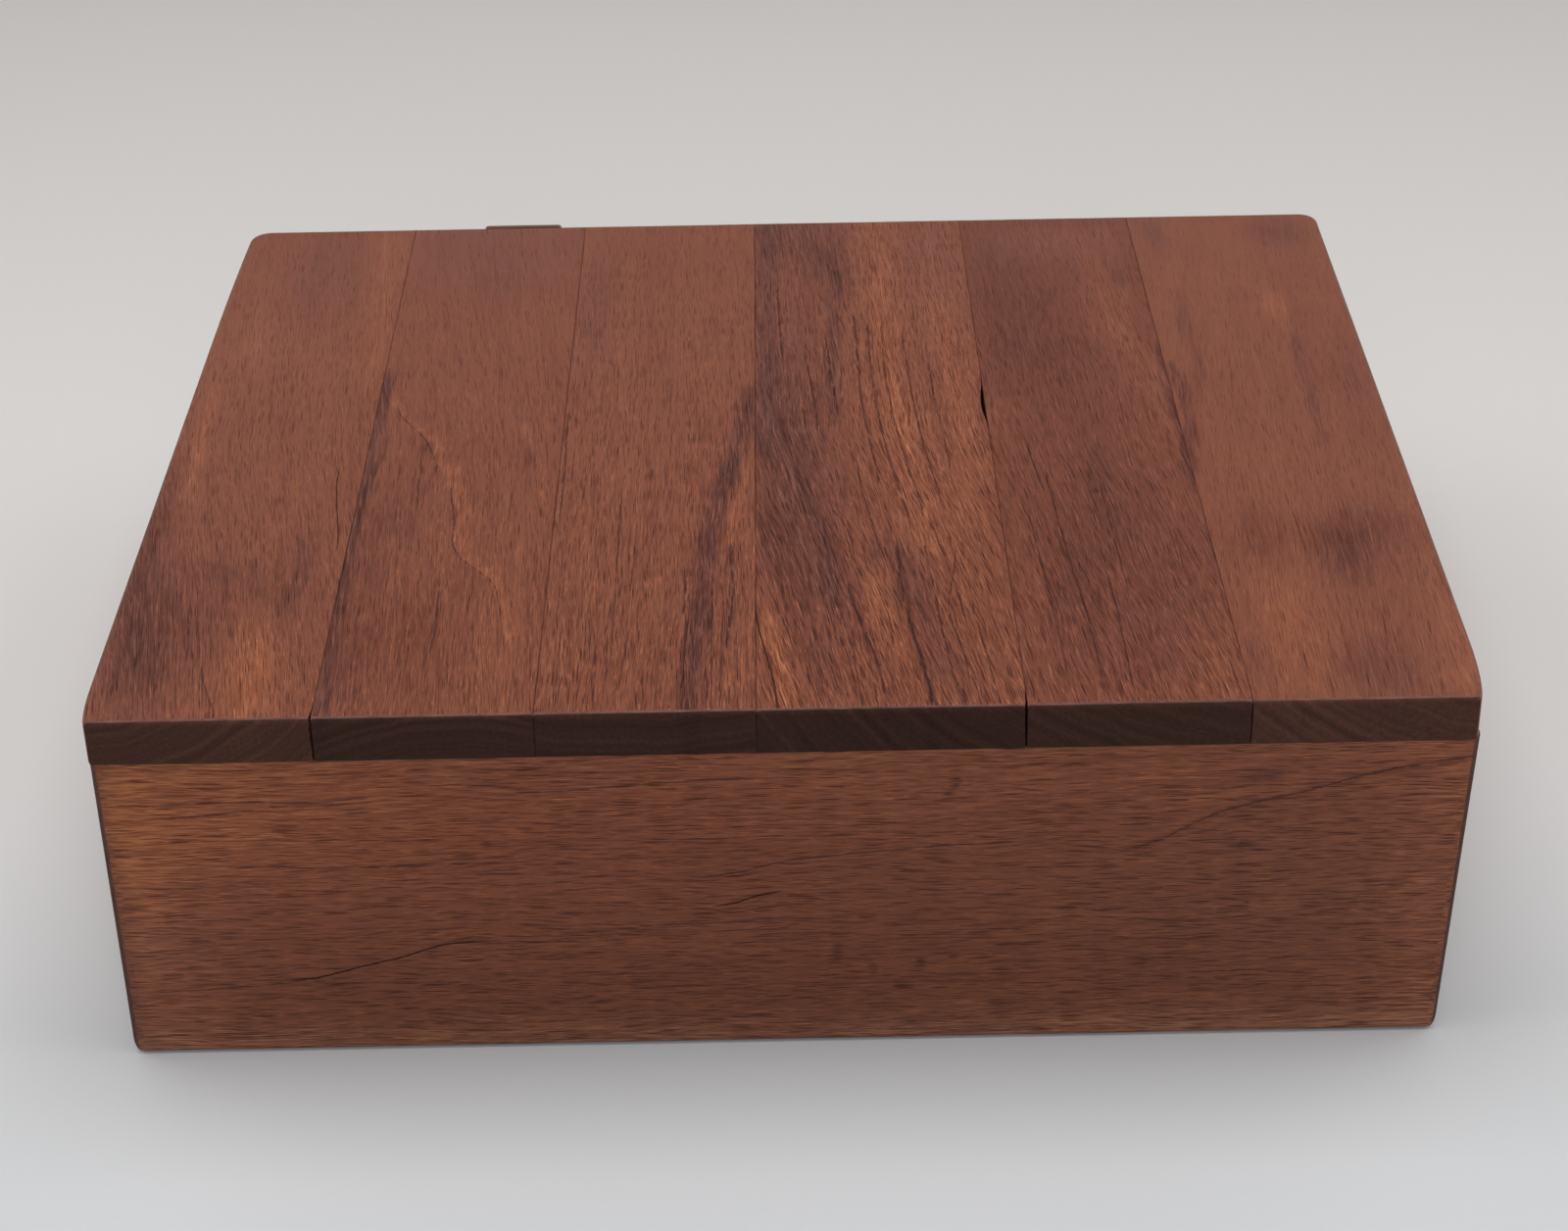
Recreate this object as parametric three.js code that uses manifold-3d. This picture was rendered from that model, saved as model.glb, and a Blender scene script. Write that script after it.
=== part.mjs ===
// Small lidded trinket box in solid reddish-brown hardwood.
// The lid is edge-glued from six boards and turns on two small butt hinges screwed to the back.
// The body has a lapped joint at each corner and a bottom panel held in grooves.
// Millimetres, +Z up, +Y to the back. The origin is on the table, under the middle of the whole box.

import * as THREE from 'three';
import { mergeVertices } from 'three/addons/utils/BufferGeometryUtils.js';
import Module from 'manifold-3d';

const wasm = await Module();
wasm.setup();

// Driving dimensions: the lid
const LID_WIDTH = 178;
const LID_DEPTH = 152;
const LID_THICKNESS = 6.5;
const LID_CORNER_RADIUS = 5.5;
const LID_TOP_ROUNDING = 1.0;
const LID_UNDER_ROUNDING = 0.4;
// Width of each lid board but the last, from the left, half way back; the last board takes what is left.
const LID_BOARD_WIDTHS = [28.7, 28.1, 28.1, 34.1, 28.1];
// How far the front end of each glued joint lies to the right of its back end
const LID_JOINT_SKEWS = [1.6, 1.3, 1.1, 1.2, 1.7];
const GLUE_LINE = 0.08;

// Driving dimensions: the body
const BODY_HEIGHT = 46.6;
const WALL = 8;
const LID_OVERHANG_FRONT = 0.8;
const LID_OVERHANG_SIDE = 0.55;
const LID_SEAM = 0.15;
const RIGHT_SIDE_LEAN = 1.9;
const BODY_ARRIS_RADIUS = 1.4;
const FOOT_SIDE_ROUNDING = 2.4;
const FOOT_FRONT_ROUNDING = 1.0;
const CORNER_LAP = 4;

// Driving dimensions: the bottom panel and its groove
const BOTTOM_THICKNESS = 3;
const BOTTOM_HEIGHT = 4;
const GROOVE_DEPTH = 3;
const PANEL_PLAY = 0.1;
const PANEL_END_PLAY = 0.4;

// Driving dimensions: the hinges
const HINGE_LENGTH = 12.7;
const HINGE_INSET = 39.3;
const LEAF_HEIGHT = 6.35;
const LEAF_THICKNESS = 0.9;
const LEAF_CORNER_RADIUS = 0.5;
const LEAF_BEDDING = 0.05;
const RIGHT_LEAF_FILED_OFF = 0.55;
const PIN_DIAMETER = 1.4;
const PIN_PLAY = 0.05;
const PIN_HEAD_DIAMETER = 2.3;
const PIN_HEAD_THICKNESS = 0.35;
const KNUCKLE_GAP = 0.2;
const ROLL_SLIT = 0.15;
const MIDDLE_KNUCKLE_LENGTH = 4.4;

// Driving dimensions: the hinge screws
const SCREW_LENGTH = 6;
const SCREW_DIAMETER = 1.5;
const SCREW_HEAD_DIAMETER = 2.6;
const SCREW_SLOT_WIDTH = 0.4;
const SCREW_SLOT_DEPTH = 0.3;
const SCREW_SPACING = 6.6;
const SCREW_HEIGHT_ON_LEAF = 4.1;
const SCREW_PLAY = 0.06;
const PILOT_EXTRA_DEPTH = 0.5;

// Fineness of curved faces
const ARC_STEPS = 4;
const ROUNDING_STEPS = 4;
const LATHE_STEPS = 16;
const BARREL_STEPS = 12;

// Places worked out from the driving dimensions, with the middle of the lid over x = 0, y = 0
const lidBack = LID_DEPTH / 2;
const bodyHalfWidth = LID_WIDTH / 2 - LID_OVERHANG_SIDE;
const bodyFront = -LID_DEPTH / 2 + LID_OVERHANG_FRONT;
const bodyBack = lidBack;
const innerHalfWidth = bodyHalfWidth - WALL;
const innerFront = bodyFront + WALL;
const innerBack = bodyBack - WALL;
const lidBottom = BODY_HEIGHT + LID_SEAM;
const boreRadius = PIN_DIAMETER / 2 + PIN_PLAY;
const barrelRadius = boreRadius + LEAF_THICKNESS;
const axisY = lidBack + LEAF_BEDDING + barrelRadius;
const axisZ = BODY_HEIGHT + LID_SEAM / 2;
const barrelBack = axisY + barrelRadius;
const hingeCentreX = LID_WIDTH / 2 - HINGE_INSET - HINGE_LENGTH / 2;
const notchHeight = barrelRadius + KNUCKLE_GAP;
// How far a cutting block reaches past the wood that it cuts
const overcut = WALL;

// A closed three.js geometry as a solid that can be cut and joined
function solidFrom(geometry) {
  const bare = geometry.clone();
  bare.deleteAttribute('normal');
  bare.deleteAttribute('uv');
  const merged = mergeVertices(bare, 1e-5);
  const corners = merged.index.array;
  const triangles = [];
  for (let i = 0; i < corners.length; i += 3) {
    const [a, b, c] = [corners[i], corners[i + 1], corners[i + 2]];
    if (a !== b && b !== c && c !== a) triangles.push(a, b, c);
  }
  return new wasm.Manifold(new wasm.Mesh({
    numProp: 3,
    vertProperties: new Float32Array(merged.attributes.position.array),
    triVerts: new Uint32Array(triangles),
  }));
}

// The solid's vertices and triangles as a three.js geometry
function geometryFrom(solid) {
  const mesh = solid.getMesh();
  const geometry = new THREE.BufferGeometry();
  geometry.setAttribute('position', new THREE.BufferAttribute(new Float32Array(mesh.vertProperties), 3));
  geometry.setIndex(new THREE.BufferAttribute(new Uint32Array(mesh.triVerts), 1));
  geometry.computeVertexNormals();
  return geometry;
}

// A closed outline through corners given counter-clockwise as [x, y, radius], each rounded by its radius
function filletedOutline(corners) {
  const shape = new THREE.Shape();
  corners.forEach(([x, y, radius], i) => {
    const corner = new THREE.Vector2(x, y);
    const before = new THREE.Vector2(...corners.at(i - 1)).sub(corner).normalize();
    const after = new THREE.Vector2(...corners[(i + 1) % corners.length]).sub(corner).normalize();
    const halfAngle = Math.acos(before.dot(after)) / 2;
    const reach = radius / Math.tan(halfAngle);
    const start = corner.clone().addScaledVector(before, reach);
    if (i === 0) shape.moveTo(start.x, start.y);
    else shape.lineTo(start.x, start.y);
    if (radius > 0) {
      const bisector = before.clone().add(after).normalize();
      const centre = corner.clone().addScaledVector(bisector, radius / Math.sin(halfAngle));
      const end = corner.clone().addScaledVector(after, reach);
      shape.absarc(centre.x, centre.y, radius,
        Math.atan2(start.y - centre.y, start.x - centre.x),
        Math.atan2(end.y - centre.y, end.x - centre.x), false);
    }
  });
  return shape;
}

function extrude(shape, length, steps = ARC_STEPS) {
  return new THREE.ExtrudeGeometry(shape, { depth: length, bevelEnabled: false, curveSegments: steps });
}

// An outline drawn in x and z, carried back from y0 to y1
function carriedBack(shape, y0, y1) {
  return solidFrom(extrude(shape, y1 - y0).rotateX(Math.PI / 2).translate(0, y1, 0));
}

// An outline drawn in y and z, carried to the right from x0 to x1
function carriedAcross(shape, x0, x1, steps = ARC_STEPS) {
  const axes = new THREE.Matrix4().makeBasis(
    new THREE.Vector3(0, 1, 0), new THREE.Vector3(0, 0, 1), new THREE.Vector3(1, 0, 0));
  return solidFrom(extrude(shape, x1 - x0, steps).applyMatrix4(axes).translate(x0, 0, 0));
}

// A rectangular block between two opposite corners
function block([x0, y0, z0], [x1, y1, z1]) {
  return solidFrom(new THREE.BoxGeometry(x1 - x0, y1 - y0, z1 - z0)
    .translate((x0 + x1) / 2, (y0 + y1) / 2, (z0 + z1) / 2));
}

// A profile of [radius, y] points turned about the Y axis
function turned(profile, steps = LATHE_STEPS) {
  return new THREE.LatheGeometry(profile.map(([r, y]) => new THREE.Vector2(r, y)), steps);
}

// A slab from z0 to z1 with its upper and lower edges rounded all the way round
function roundedSlab(outline, z0, z1, upperRadius, lowerRadius) {
  const spare = upperRadius + lowerRadius;
  const cushioned = (low, high, radius) => solidFrom(new THREE.ExtrudeGeometry(outline, {
    depth: high - low - 2 * radius,
    bevelThickness: radius,
    bevelSize: radius,
    bevelOffset: -radius,
    bevelSegments: ROUNDING_STEPS,
    curveSegments: ARC_STEPS,
  }).translate(0, 0, low + radius));
  return cushioned(z0 - 2 * spare, z1, upperRadius).intersect(cushioned(z0, z1 + 2 * spare, lowerRadius));
}

// Finishes, with the colours of the oiled wood and the darkened brass
const wood = (color) => new THREE.MeshStandardMaterial({ color, roughness: 0.55, metalness: 0 });
const lidBoardColours = [0x7f4e3e, 0x7d4c3d, 0x7d4e3f, 0x7b4a3a, 0x724639, 0x84533e];
const frontWood = wood(0x5f3d2e);
const wallWood = wood(0x6b4533);
const bottomWood = wood(0x74503c);
const agedBrass = new THREE.MeshStandardMaterial({ color: 0x6b4a2c, roughness: 0.45, metalness: 0.85 });
const screwBrass = new THREE.MeshStandardMaterial({ color: 0x7d5a33, roughness: 0.4, metalness: 0.9 });

function named(name, solid, material) {
  const mesh = new THREE.Mesh(geometryFrom(solid), material);
  mesh.name = name;
  return mesh;
}

// Hinge screws: a countersunk slotted head on a plain shank with a pointed end. The head faces +Y, flush
// at y = 0.
const shankRadius = SCREW_DIAMETER / 2;
const headRadius = SCREW_HEAD_DIAMETER / 2;
const headDepth = headRadius - shankRadius;

function screwSolid(slotAngle) {
  const blank = turned([
    [0, -SCREW_LENGTH],
    [shankRadius, -SCREW_LENGTH + 2 * shankRadius],
    [shankRadius, -headDepth],
    [headRadius, 0],
    [0, 0],
  ]);
  const slot = new THREE.BoxGeometry(SCREW_HEAD_DIAMETER * 2, SCREW_SLOT_DEPTH * 2, SCREW_SLOT_WIDTH);
  return solidFrom(blank).subtract(solidFrom(slot.rotateY(slotAngle)));
}

// The room that a screw needs in the leaf and the wood: its own shape, larger all round by the play
function screwRoom(x, y, z) {
  const wide = headRadius + SCREW_PLAY;
  const narrow = shankRadius + SCREW_PLAY;
  const deep = SCREW_LENGTH + PILOT_EXTRA_DEPTH;
  const mouth = LEAF_THICKNESS;
  return solidFrom(turned([
    [0, -deep], [narrow, -deep + narrow], [narrow, -headDepth], [wide, 0], [wide, mouth], [0, mouth],
  ]).translate(x, y, z));
}

// Where the screws stand, from a hinge's middle and axis: two in each leaf
const screwPlaces = (upward) => [-1, 1].map((side) => ({
  x: side * SCREW_SPACING / 2,
  y: -boreRadius,
  z: (upward ? 1 : -1) * SCREW_HEIGHT_ON_LEAF,
}));

// Hinges, the left one first
const hinges = [
  { side: 'left', x: -hingeCentreX, lidLeafHeight: LEAF_HEIGHT },
  { side: 'right', x: hingeCentreX, lidLeafHeight: LEAF_HEIGHT - RIGHT_LEAF_FILED_OFF },
];

// The pilot holes of all the screws in one leaf of each hinge, in the frame of the body
function pilotHoles(upward) {
  return hinges.flatMap((hinge) => screwPlaces(upward).map(({ x, y, z }) =>
    screwRoom(hinge.x + x, axisY + y, axisZ + z)));
}

const without = (solid, cuts) => cuts.reduce((rest, cut) => rest.subtract(cut), solid);

// The joint to the right of a lid board: where it meets the lid's front and back edges.
// Outside the first and last boards it stands clear of the lid.
function lidJoint(board) {
  if (board < 0) return { front: -LID_WIDTH / 2 - overcut, back: -LID_WIDTH / 2 - overcut };
  if (board === LID_BOARD_WIDTHS.length) {
    return { front: LID_WIDTH / 2 + overcut, back: LID_WIDTH / 2 + overcut };
  }
  const widths = LID_BOARD_WIDTHS.slice(0, board + 1);
  const middle = widths.reduce((sum, width) => sum + width, -LID_WIDTH / 2);
  const skew = LID_JOINT_SKEWS[board] / 2;
  return { front: middle + skew, back: middle - skew };
}

// The upright strip of space between a board's two joints, less half a glue line at each
function boardStrip(board) {
  const [left, right] = [lidJoint(board - 1), lidJoint(board)];
  const [y, glue] = [LID_DEPTH / 2, GLUE_LINE / 2];
  const outline = filletedOutline([
    [left.front + glue, -y, 0], [right.front - glue, -y, 0],
    [right.back - glue, y, 0], [left.back + glue, y, 0]]);
  const height = LID_THICKNESS + 2 * overcut;
  return solidFrom(extrude(outline, height).translate(0, 0, lidBottom - overcut));
}

// Lid: one slab with rounded corners and edges, ripped into boards that run from front to back
function lidBoards() {
  const [x, y, r] = [LID_WIDTH / 2, LID_DEPTH / 2, LID_CORNER_RADIUS];
  const outline = filletedOutline([[-x, -y, r], [x, -y, r], [x, y, r], [-x, y, r]]);
  const slab = without(
    roundedSlab(outline, lidBottom, lidBottom + LID_THICKNESS, LID_TOP_ROUNDING, LID_UNDER_ROUNDING),
    pilotHoles(true));
  const group = new THREE.Group();
  lidBoardColours.forEach((colour, i) => {
    group.add(named(`lid_board_${i + 1}`, slab.intersect(boardStrip(i)), wood(colour)));
  });
  return group;
}

// Body: the outside of the glued-up and sanded box, as one block
function bodyEnvelope() {
  const [x, z, r] = [bodyHalfWidth, BODY_HEIGHT, BODY_ARRIS_RADIUS];
  const plan = filletedOutline([[-x, bodyFront, r], [x, bodyFront, r], [x, bodyBack, r], [-x, bodyBack, r]]);
  const upright = extrude(plan, z);
  const points = upright.attributes.position;
  for (let i = 0; i < points.count; i += 1) {
    const atRightFoot = points.getX(i) > 0 && points.getZ(i) < z / 2;
    if (atRightFoot) points.setX(i, points.getX(i) - RIGHT_SIDE_LEAN);
  }
  const frontView = filletedOutline([
    [-x, 0, FOOT_SIDE_ROUNDING], [x - RIGHT_SIDE_LEAN, 0, FOOT_SIDE_ROUNDING], [x, z, 0], [-x, z, 0]]);
  const sideView = filletedOutline([
    [bodyFront, 0, FOOT_FRONT_ROUNDING], [bodyBack, 0, FOOT_FRONT_ROUNDING],
    [bodyBack, z, 0], [bodyFront, z, 0]]);
  return solidFrom(upright)
    .intersect(carriedBack(frontView, bodyFront - overcut, bodyBack + overcut))
    .intersect(carriedAcross(sideView, -x - overcut, x + overcut));
}

// The groove that runs round the inside of the walls
function bottomGroove() {
  const [x, depth] = [innerHalfWidth, GROOVE_DEPTH];
  const low = BOTTOM_HEIGHT - PANEL_PLAY;
  const high = BOTTOM_HEIGHT + BOTTOM_THICKNESS + PANEL_PLAY;
  return {
    long: block([-x, innerFront - depth, low], [x, innerBack + depth, high]),
    short: block([-x - depth, bodyFront - overcut, low], [x + depth, bodyBack + overcut, high]),
  };
}

function walls() {
  const envelope = bodyEnvelope();
  const groove = bottomGroove();
  const [wide, tall] = [bodyHalfWidth + overcut, BODY_HEIGHT + overcut];
  const lapFront = bodyFront + CORNER_LAP;
  const lapBack = bodyBack - CORNER_LAP;
  // The rabbets in the ends of the front and back boards take the side boards
  const endRabbets = [-1, 1].map((side) => {
    const [near, far] = [side * innerHalfWidth, side * wide].sort((a, b) => a - b);
    return block([near, lapFront, -overcut], [far, lapBack, tall]);
  });
  const frontBlank = block([-wide, bodyFront - overcut, -overcut], [wide, innerFront, tall]);
  const backBlank = block([-wide, innerBack, -overcut], [wide, bodyBack + overcut, tall]);
  const sideBlank = (from, to) =>
    block([from, lapFront + GLUE_LINE, -overcut], [to, lapBack - GLUE_LINE, tall]);
  const board = (blank, cuts) => without(envelope.intersect(blank), cuts);

  const sideInner = innerHalfWidth + GLUE_LINE;
  const group = new THREE.Group();
  group.add(
    named('front_board', board(frontBlank, [...endRabbets, groove.long]), frontWood),
    named('back_board', board(backBlank, [...endRabbets, groove.long, ...pilotHoles(false)]), wallWood),
    named('left_side_board', board(sideBlank(-wide, -sideInner), [groove.short]), wallWood),
    named('right_side_board', board(sideBlank(sideInner, wide), [groove.short]), wallWood),
  );
  return group;
}

function bottomPanel() {
  const grip = GROOVE_DEPTH - PANEL_END_PLAY;
  return named('bottom_panel', block(
    [-innerHalfWidth - grip, innerFront - grip, BOTTOM_HEIGHT],
    [innerHalfWidth + grip, innerBack + grip, BOTTOM_HEIGHT + BOTTOM_THICKNESS]), bottomWood);
}

// The stretches of barrel that each leaf leaves free for the other leaf's knuckles.
// Of the three knuckles the middle one is the lid's.
function freeStretches() {
  const past = HINGE_LENGTH;
  const middle = MIDDLE_KNUCKLE_LENGTH / 2;
  const clear = middle + KNUCKLE_GAP;
  return { lid: [[-past, -middle], [middle, past]], body: [[-clear, clear]] };
}

// The section of a leaf with its end rolled round the pin, in y and z from the pin's axis.
// The strip lies against the wood, passes the pin, and its end comes back round to its own outer face.
function rolledSection(height) {
  const [outer, bore] = [barrelRadius, boreRadius];
  const endY = -bore + ROLL_SLIT;
  const outerEnd = 2 * Math.PI + Math.acos(endY / outer);
  const boreEnd = 2 * Math.PI + Math.acos(endY / bore);
  const shape = new THREE.Shape();
  shape.moveTo(-outer, height);
  shape.lineTo(-outer, 0);
  shape.absarc(0, 0, outer, Math.PI, outerEnd, false);
  shape.lineTo(bore * Math.cos(boreEnd), bore * Math.sin(boreEnd));
  shape.absarc(0, 0, bore, boreEnd, Math.PI, true);
  shape.lineTo(-bore, height);
  shape.closePath();
  return shape;
}

// One leaf, drawn with its strip upward
function leafSolid(height, notches) {
  const [half, past, r] = [HINGE_LENGTH / 2, HINGE_LENGTH, LEAF_CORNER_RADIUS];
  const rolled = carriedAcross(rolledSection(height), -half, half, BARREL_STEPS);
  const outline = filletedOutline([
    [-half, -past, 0], [half, -past, 0], [half, height, r], [-half, height, r]]);
  const cuts = notches.map(([from, to]) => block([from, -past, -past], [to, past, notchHeight]));
  const holes = screwPlaces(true).map(({ x, y, z }) => screwRoom(x, y, z));
  return without(rolled.intersect(carriedBack(outline, -past, past)), [...cuts, ...holes]);
}

// The pin, with a flat peened head at each end that keeps it in the barrel
function pinSolid() {
  const [r, head] = [PIN_DIAMETER / 2, PIN_HEAD_DIAMETER / 2];
  const inner = HINGE_LENGTH / 2 + KNUCKLE_GAP / 2;
  const outer = inner + PIN_HEAD_THICKNESS;
  const half = [[r, inner], [head, inner], [(r + head) / 2, outer], [0, outer]];
  const mirrored = half.map(([radius, along]) => [radius, -along]).reverse();
  return solidFrom(turned([...mirrored, ...half], 2 * BARREL_STEPS).rotateZ(-Math.PI / 2));
}

function hingeGroup({ side, x, lidLeafHeight }) {
  const free = freeStretches();
  const lidLeaf = named(`${side}_hinge_lid_leaf`, leafSolid(lidLeafHeight, free.lid), agedBrass);
  const bodyLeaf = named(`${side}_hinge_body_leaf`, leafSolid(LEAF_HEIGHT, free.body), agedBrass);
  bodyLeaf.rotation.y = Math.PI;

  const group = new THREE.Group();
  group.position.set(x, axisY, axisZ);
  group.add(lidLeaf, bodyLeaf, named(`${side}_hinge_pin`, pinSolid(), agedBrass));
  [['lid', true], ['body', false]].forEach(([part, upward]) => {
    screwPlaces(upward).forEach((place, i) => {
      const slotAngle = (i + (upward ? 0 : 1)) * Math.PI / 5;
      const screw = named(`${side}_hinge_${part}_screw_${i + 1}`, screwSolid(slotAngle), screwBrass);
      screw.position.set(place.x, place.y, place.z);
      group.add(screw);
    });
  });
  return group;
}

// The whole box, set so that the origin is under the middle of everything, barrels included
const box = new THREE.Group();
box.position.y = -(barrelBack - LID_DEPTH / 2) / 2;
box.add(lidBoards(), walls(), bottomPanel(), ...hinges.map(hingeGroup));

export default box;
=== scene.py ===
"""The looks of a small lidded trinket box: figured boards, hinges, screws, floor and soft light.

Every piece is worked out in millimetres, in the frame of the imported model: +X to the right along the
front, +Y to the back, +Z up, the origin on the table. Meshes are handed to Blender in metres.
"""

from __future__ import annotations

import logging
import math
from abc import ABC, abstractmethod
from dataclasses import dataclass
from enum import Enum
from typing import ClassVar

import bpy
import numpy as np
from mathutils import Matrix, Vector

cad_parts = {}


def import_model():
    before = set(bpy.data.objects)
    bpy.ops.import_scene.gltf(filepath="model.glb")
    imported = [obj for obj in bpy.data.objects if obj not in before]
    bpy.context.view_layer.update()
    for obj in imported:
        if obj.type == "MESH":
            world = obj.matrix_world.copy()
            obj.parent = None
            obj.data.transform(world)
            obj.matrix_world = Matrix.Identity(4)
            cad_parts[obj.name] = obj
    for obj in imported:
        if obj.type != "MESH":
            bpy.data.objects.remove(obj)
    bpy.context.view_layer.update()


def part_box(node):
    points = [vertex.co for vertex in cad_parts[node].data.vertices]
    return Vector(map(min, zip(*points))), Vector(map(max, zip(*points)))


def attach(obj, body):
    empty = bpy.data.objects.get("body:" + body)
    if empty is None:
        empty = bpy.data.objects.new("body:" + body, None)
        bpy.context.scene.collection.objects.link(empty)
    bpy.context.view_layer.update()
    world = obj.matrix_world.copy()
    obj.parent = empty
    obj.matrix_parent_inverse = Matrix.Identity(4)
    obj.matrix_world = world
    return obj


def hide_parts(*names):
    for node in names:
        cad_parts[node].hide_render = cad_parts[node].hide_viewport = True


MM = 0.001
SMOOTH_ANGLE = math.radians(38)

log = logging.getLogger("trinket_box")

Pair = tuple[float, float]
Vector3 = tuple[float, float, float]
Array = np.ndarray
Mesh, Material, Socket = bpy.types.Mesh, bpy.types.Material, bpy.types.NodeSocket


class Body(Enum):
    """The two bodies that pieces ride on."""

    BOX = "box"
    LID = "lid"


class Slot(Enum):
    """The record's material slots."""

    LID_WOOD = "lid_wood"
    WALL_WOOD = "wall_wood"
    BOTTOM_WOOD = "bottom_wood"
    HINGE_BRASS = "hinge_brass"
    SCREW_BRASS = "screw_brass"


# Sizes shared by several pieces, in millimetres


@dataclass(frozen=True)
class BoxSizes:
    """Sizes that the frame's boxes don't give by themselves.

    The lid's corners are the (across, along) radii of the front left, front right, back left and back
    right one. A joint's skew is how far it moves to the left from the front to the back, and the drawn
    glue is half the gap drawn in it. The rim of a screw's head lies between two depths under its middle.
    The screw's tip is the share of the shank's radius left at its end, and the length of its taper.
    """

    lid_corners: tuple[Pair, ...] = ((1.2, 9.0), (1.7, 14.0), (3.4, 3.4), (3.0, 3.0))
    lid_left_bow: float = 0.55
    lid_bow_start: float = 35.0
    lid_top_rounding: float = 1.0
    lid_under_rounding: float = 0.4
    joint_skews: tuple[float, ...] = (1.6, 1.3, 1.1, 1.2, 1.7)
    glue_line: float = 0.08
    drawn_glue: float = 0.016
    wall: float = 8.0
    corner_lap: float = 4.0
    body_arris: float = 1.4
    foot_side_rounding: float = 2.4
    foot_front_rounding: float = 1.0
    top_edge_rounding: float = 0.2
    right_side_lean: float = 1.9
    groove_depth: float = 3.0
    panel_play: float = 0.1
    leaf_thickness: float = 0.9
    pin_diameter: float = 1.4
    pin_play: float = 0.05
    pin_rim: float = 0.08
    knuckle_gap: float = 0.2
    middle_knuckle: float = 4.4
    roll_slit: float = 0.15
    leaf_corner: float = 0.5
    screw_spacing: float = 6.6
    screw_height: float = 4.1
    screw_head: float = 2.6
    screw_head_play: float = 0.1
    screw_rim: Pair = (0.1, 0.06)
    screw_shank: float = 1.5
    screw_shank_play: float = 0.06
    screw_length: float = 6.0
    screw_tip: Pair = (0.3, 0.5)
    slot_width: float = 0.4
    slot_depth: float = 0.3


SIZES = BoxSizes()


@dataclass(frozen=True)
class Extent:
    """Lowest and highest corner of one or more CAD nodes, in millimetres."""

    low: Array
    high: Array

    @classmethod
    def of(cls, *nodes: str) -> Extent:
        """The box round the named nodes."""
        corners = np.array([[list(corner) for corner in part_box(node)] for node in nodes]) / MM
        return cls(corners[:, 0].min(0), corners[:, 1].max(0))

    @property
    def centre(self) -> Array:
        """The middle of the box."""
        return (self.low + self.high) / 2

    @property
    def size(self) -> Array:
        """The box's three side lengths."""
        return self.high - self.low


# Formulas on whole arrays


def smooth_step(share: Array) -> Array:
    """The share kept within 0 and 1 and eased at both ends: s^2 (3 - 2 s)."""
    share = np.clip(share, 0, 1)
    return share * share * (3 - 2 * share)


def bell(distance: Array, width: float) -> Array:
    """1 where the distance is nothing, falling off as exp(-(distance / width)^2)."""
    return np.exp(-((distance / width) ** 2))


def quarter_round(distance: Array, radius: float) -> Array:
    """How far a rounded edge falls below its face.

    At distance d from the edge the fall is r - sqrt(r^2 - (r - d)^2), and nothing once d is r or more.

    Args:
        distance: Distance from the edge, along the face.
        radius: The edge's radius.

    Returns:
        The fall, as an array of the same shape.
    """
    inside = np.clip(radius - distance, 0, radius)
    return radius - np.sqrt(np.maximum(radius**2 - inside**2, 0))


def stations(length: float, step: float, dense: tuple[bool, bool] = (True, True)) -> Array:
    """Places from 0 to length, a step apart, and closer together in the last millimetre of a dense end.

    Args:
        length: The whole length.
        step: Usual distance between two places.
        dense: Whether the start and the end have close places for a rounded edge.

    Returns:
        The places, rising.
    """
    close = np.array([0, 0.03, 0.1, 0.2, 0.34, 0.52, 0.74, 1.0])
    start = close if dense[0] else close[:1]
    end = length - (close if dense[1] else close[:1])[::-1]
    count = max(int((end[0] - start[-1]) / step), 2)
    return np.concatenate([start[:-1], np.linspace(start[-1], end[0], count + 1), end[1:]])


@dataclass(frozen=True)
class Ripple:
    """Smooth seeded unevenness: its depth, its wave lengths along and across, and its seed."""

    depth: float
    lengths: Pair
    seed: int = 0
    count: ClassVar[int] = 6
    turns: ClassVar[Pair] = (0.5, 1.6)

    def at(self, a: Array, c: Array, more_seed: int) -> Array:
        """The unevenness, between about -1 and 1 times the depth.

        It is the mean of the sine waves times the square root of three. Each wave has its own number
        of turns in each of the two lengths, either way, and its own phase, all drawn at random.

        Args:
            a: Places along.
            c: Places across.
            more_seed: What is added to the seed.

        Returns:
            The unevenness at each place.
        """
        draw = np.random.default_rng(self.seed + more_seed)
        waves = draw.uniform(*self.turns, (self.count, 2)) * draw.choice([-1, 1], (self.count, 2))
        phases = draw.uniform(0, 2 * np.pi, self.count)
        total = np.zeros(np.broadcast(a, c).shape)
        for (along, across), phase in zip(waves, phases):
            total += np.sin(2 * np.pi * (along * a / self.lengths[0] + across * c / self.lengths[1]) + phase)
        return self.depth * (total / self.count * math.sqrt(3))


# Marks in the wood, in a board's own millimetres: a along the grain and c across it


class Mark(ABC):
    """What a mark adds to the wood where its weight is 1.

    The tone is in natural-log steps. The smoke goes from -1 for orange to 1 for grey. The pores are a
    share of the grain's cells.
    """

    tone: float
    smoke: float
    pores: float

    @abstractmethod
    def weight(self, a: Array, c: Array) -> Array:
        """How strong the mark is at each place, from 0 to 1."""


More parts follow.
